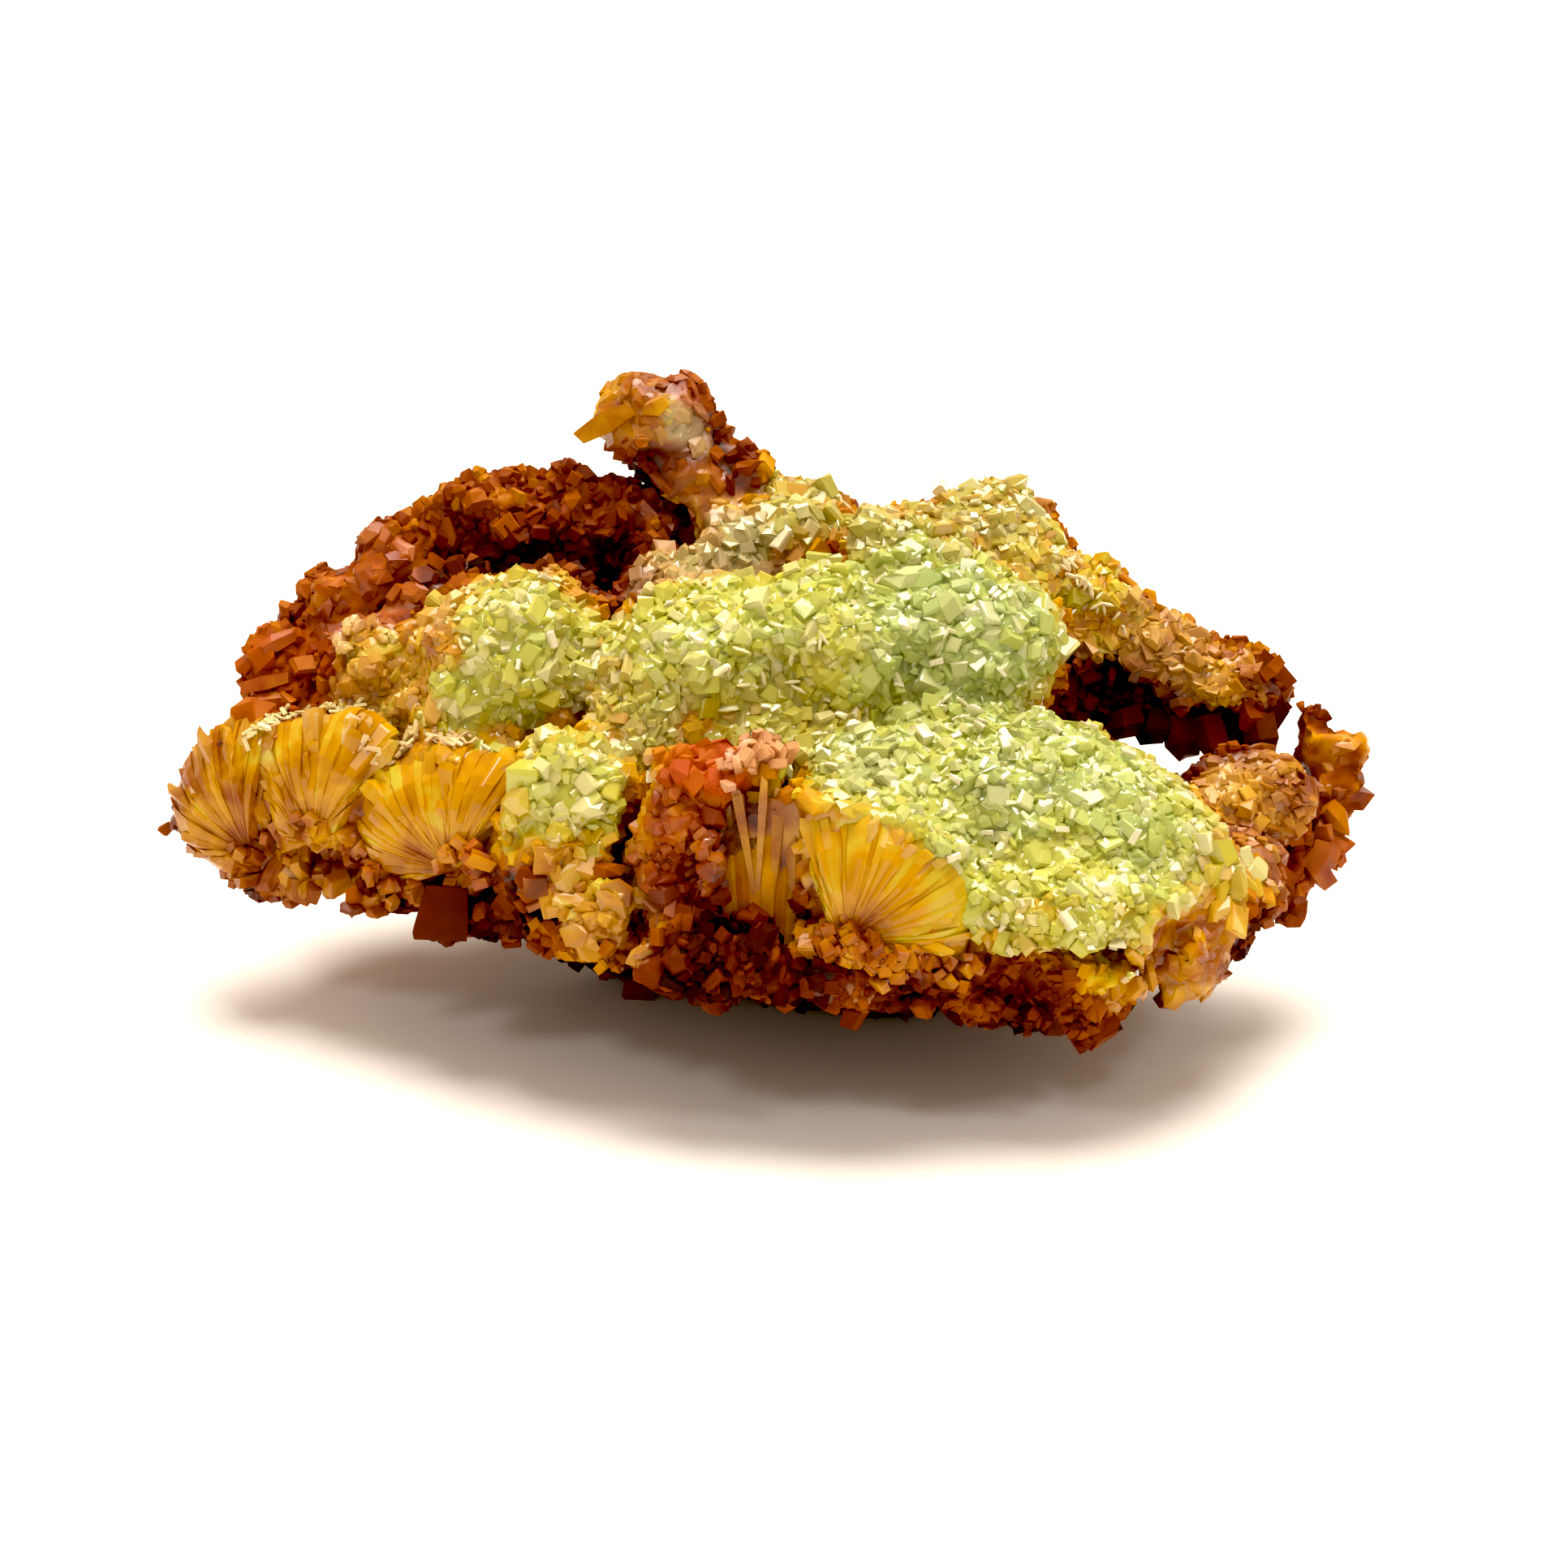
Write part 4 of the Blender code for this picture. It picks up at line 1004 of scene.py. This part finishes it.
def makeAdamite(name):
    look = adamiteLooks[name]
    material, tree = newMaterial(name)
    read = {layer: addNode(tree, "Attribute", attribute_name=layer).outputs["Fac"] for layer in layers}
    place = addNode(tree, "TexCoord").outputs["Object"]

    # each crystal's own tint, and rusty patches where there is iron
    own = addNode(tree, "MapRange", adamiteBody["own"], {"Value": read["own"]}).outputs[0]
    iron = addNode(tree, "MapRange", adamiteBody["iron"], {"Value": read["tint"]}).outputs[0]
    patchy = {"Scale": perMetre(adamiteBody["stain"]), "Detail": 4.0, "Distortion": 0.6}
    stain = addNode(tree, "TexNoise", patchy, {"Vector": place}).outputs["Fac"]
    patch = addNode(tree, "Math", {1: 0.5}, {0: stain}, operation="SUBTRACT").outputs[0]
    patch = addNode(tree, "Math", links={0: patch, 1: iron}, operation="MULTIPLY").outputs[0]
    own = addNode(tree, "Math", links={0: own, 1: patch}, operation="ADD").outputs[0]
    tint = addNode(tree, "Math", links={0: read["tint"], 1: own}, operation="ADD").outputs[0]
    colour = addNode(tree, "ValToRGB", links={"Fac": tint}, stops=tintStops).outputs["Color"]

    # smoky ones, whose smoke is painted shade in a few zones, reddish ones, paler tips, and the pale cream,
    # which is partly pale crystals and partly painted glints
    for layer in ("smoke", "blush"):
        tinge = {"Color2": linear(adamiteBody[layer])}
        colour = addNode(tree, "MixRGB", tinge, {"Fac": read[layer], "Color1": colour}).outputs[0]
    tip = addNode(tree, "MapRange", adamiteBody["tip"], {"Value": read["tip"]}).outputs[0]
    twice = {"Color1": colour, "Color2": colour}
    bright = addNode(tree, "MixRGB", {"Fac": 1.0}, twice, blend_type="SCREEN").outputs[0]
    colour = addNode(tree, "MixRGB", links={"Fac": tip, "Color1": colour, "Color2": bright}).outputs[0]
    pale = {"Color2": linear(adamiteBody["pale"])}
    colour = addNode(tree, "MixRGB", pale, {"Fac": read["pale"], "Color1": colour}).outputs[0]

    # clearer where it is green, duller where it is amber
    closing = {**adamiteBody["clear"], "To Min": look["clearGreen"], "To Max": look["clearAmber"]}
    clear = addNode(tree, "MapRange", closing, {"Value": read["tint"]}).outputs[0]
    cloudy = {"Scale": perMetre(adamiteBody["cloud"]), "Detail": 3.0}
    cloud = addNode(tree, "TexNoise", cloudy, {"Vector": place}).outputs["Fac"]
    fine = addNode(tree, "MapRange", adamiteBody["fine"], {"Value": cloud}).outputs[0]
    dull = addNode(tree, "MapRange", adamiteBody["dull"], {"Value": read["tint"]}).outputs[0]
    rough = addNode(tree, "Math", links={0: fine, 1: dull}, operation="ADD").outputs[0]
    shader = addNode(
        tree, "BsdfPrincipled",
        {"IOR": adamiteBody["ior"], "Specular IOR Level": look["gloss"]},
        {"Base Color": colour, "Roughness": rough, "Transmission Weight": clear},
    )
    addNode(tree, "OutputMaterial", links={"Surface": shader.outputs[0]})
    return material


# Limonite: earthy hydrated iron oxide, crumbly and mostly dull. The eye gets rust, ochre and near-black
# hollows, where the near-black tint is painted shade, with a few greasy glints. The patch is a width in
# millimetres, and the last three are ranges.
limoniteBody = {
    "ior": 1.5,
    "gloss": 0.12,
    "blush": "#B04A26",
    "patch": 2.222,
    "shift": {"To Min": -0.12, "To Max": 0.12},
    "own": {"To Min": -0.1, "To Max": 0.06},
    "rough": {"To Min": 0.35, "To Max": 0.8},
}


def makeLimonite():
    material, tree = newMaterial("limonite")
    read = {layer: addNode(tree, "Attribute", attribute_name=layer).outputs["Fac"] for layer in layers}
    place = addNode(tree, "TexCoord").outputs["Object"]
    patchy = {"Scale": perMetre(limoniteBody["patch"]), "Detail": 4.0}
    patch = addNode(tree, "TexNoise", patchy, {"Vector": place}).outputs["Fac"]
    shift = addNode(tree, "MapRange", limoniteBody["shift"], {"Value": patch}).outputs[0]
    own = addNode(tree, "MapRange", limoniteBody["own"], {"Value": read["own"]}).outputs[0]
    tint = addNode(tree, "Math", links={0: read["tint"], 1: own}, operation="ADD").outputs[0]
    tint = addNode(tree, "Math", links={0: tint, 1: shift}, operation="ADD").outputs[0]
    colour = addNode(tree, "ValToRGB", links={"Fac": tint}, stops=tintStops).outputs["Color"]
    blush = {"Color2": linear(limoniteBody["blush"])}
    colour = addNode(tree, "MixRGB", blush, {"Fac": read["blush"], "Color1": colour}).outputs[0]
    rough = addNode(tree, "MapRange", limoniteBody["rough"], {"Value": patch}).outputs[0]
    shader = addNode(
        tree, "BsdfPrincipled",
        {"IOR": limoniteBody["ior"], "Specular IOR Level": limoniteBody["gloss"]},
        {"Base Color": colour, "Roughness": rough},
    )
    addNode(tree, "OutputMaterial", links={"Surface": shader.outputs[0]})
    return material


setUpCamera()
setUpStudio()
setUpFloor()
print("stage set")
zoneMap = Zones()
adamite = makeAdamite("adamite")
stained = makeAdamite("adamiteStained")
limonite = makeLimonite()
print("materials ready")
rng = np.random.default_rng(seeds["crystals"])
bunches = {name: Bunch() for name in ("druse", "facets", "stained", "grains", "backGrains")}
for node, material in (("limonite_matrix", limonite), ("adamite_crust", adamite)):
    skin, points, tris, normals = makeSkin(node, zoneMap, material)
    print(skin.name, len(tris), "triangles")
    growDruse(points, tris, normals, zoneMap, rng, bunches)
extras = Bunch()
makeFans(rng, extras)
makeRows(rng, extras)
makeSpurs(rng, extras, bunches["grains"])
extras.make("adamiteFans", stained, "adamite", "adamite_crust")
bunches["druse"].make("adamiteDruse", adamite, "adamite", "adamite_crust")
bunches["facets"].make("adamiteFacets", adamite, "adamite", "adamite_crust")
bunches["stained"].make("stainedDruse", stained, "adamite", "adamite_crust")
bunches["grains"].make("limoniteGrains", limonite, "limonite", "limonite_matrix")
bunches["backGrains"].make("limoniteBackGrains", limonite, "limonite", "limonite_matrix")
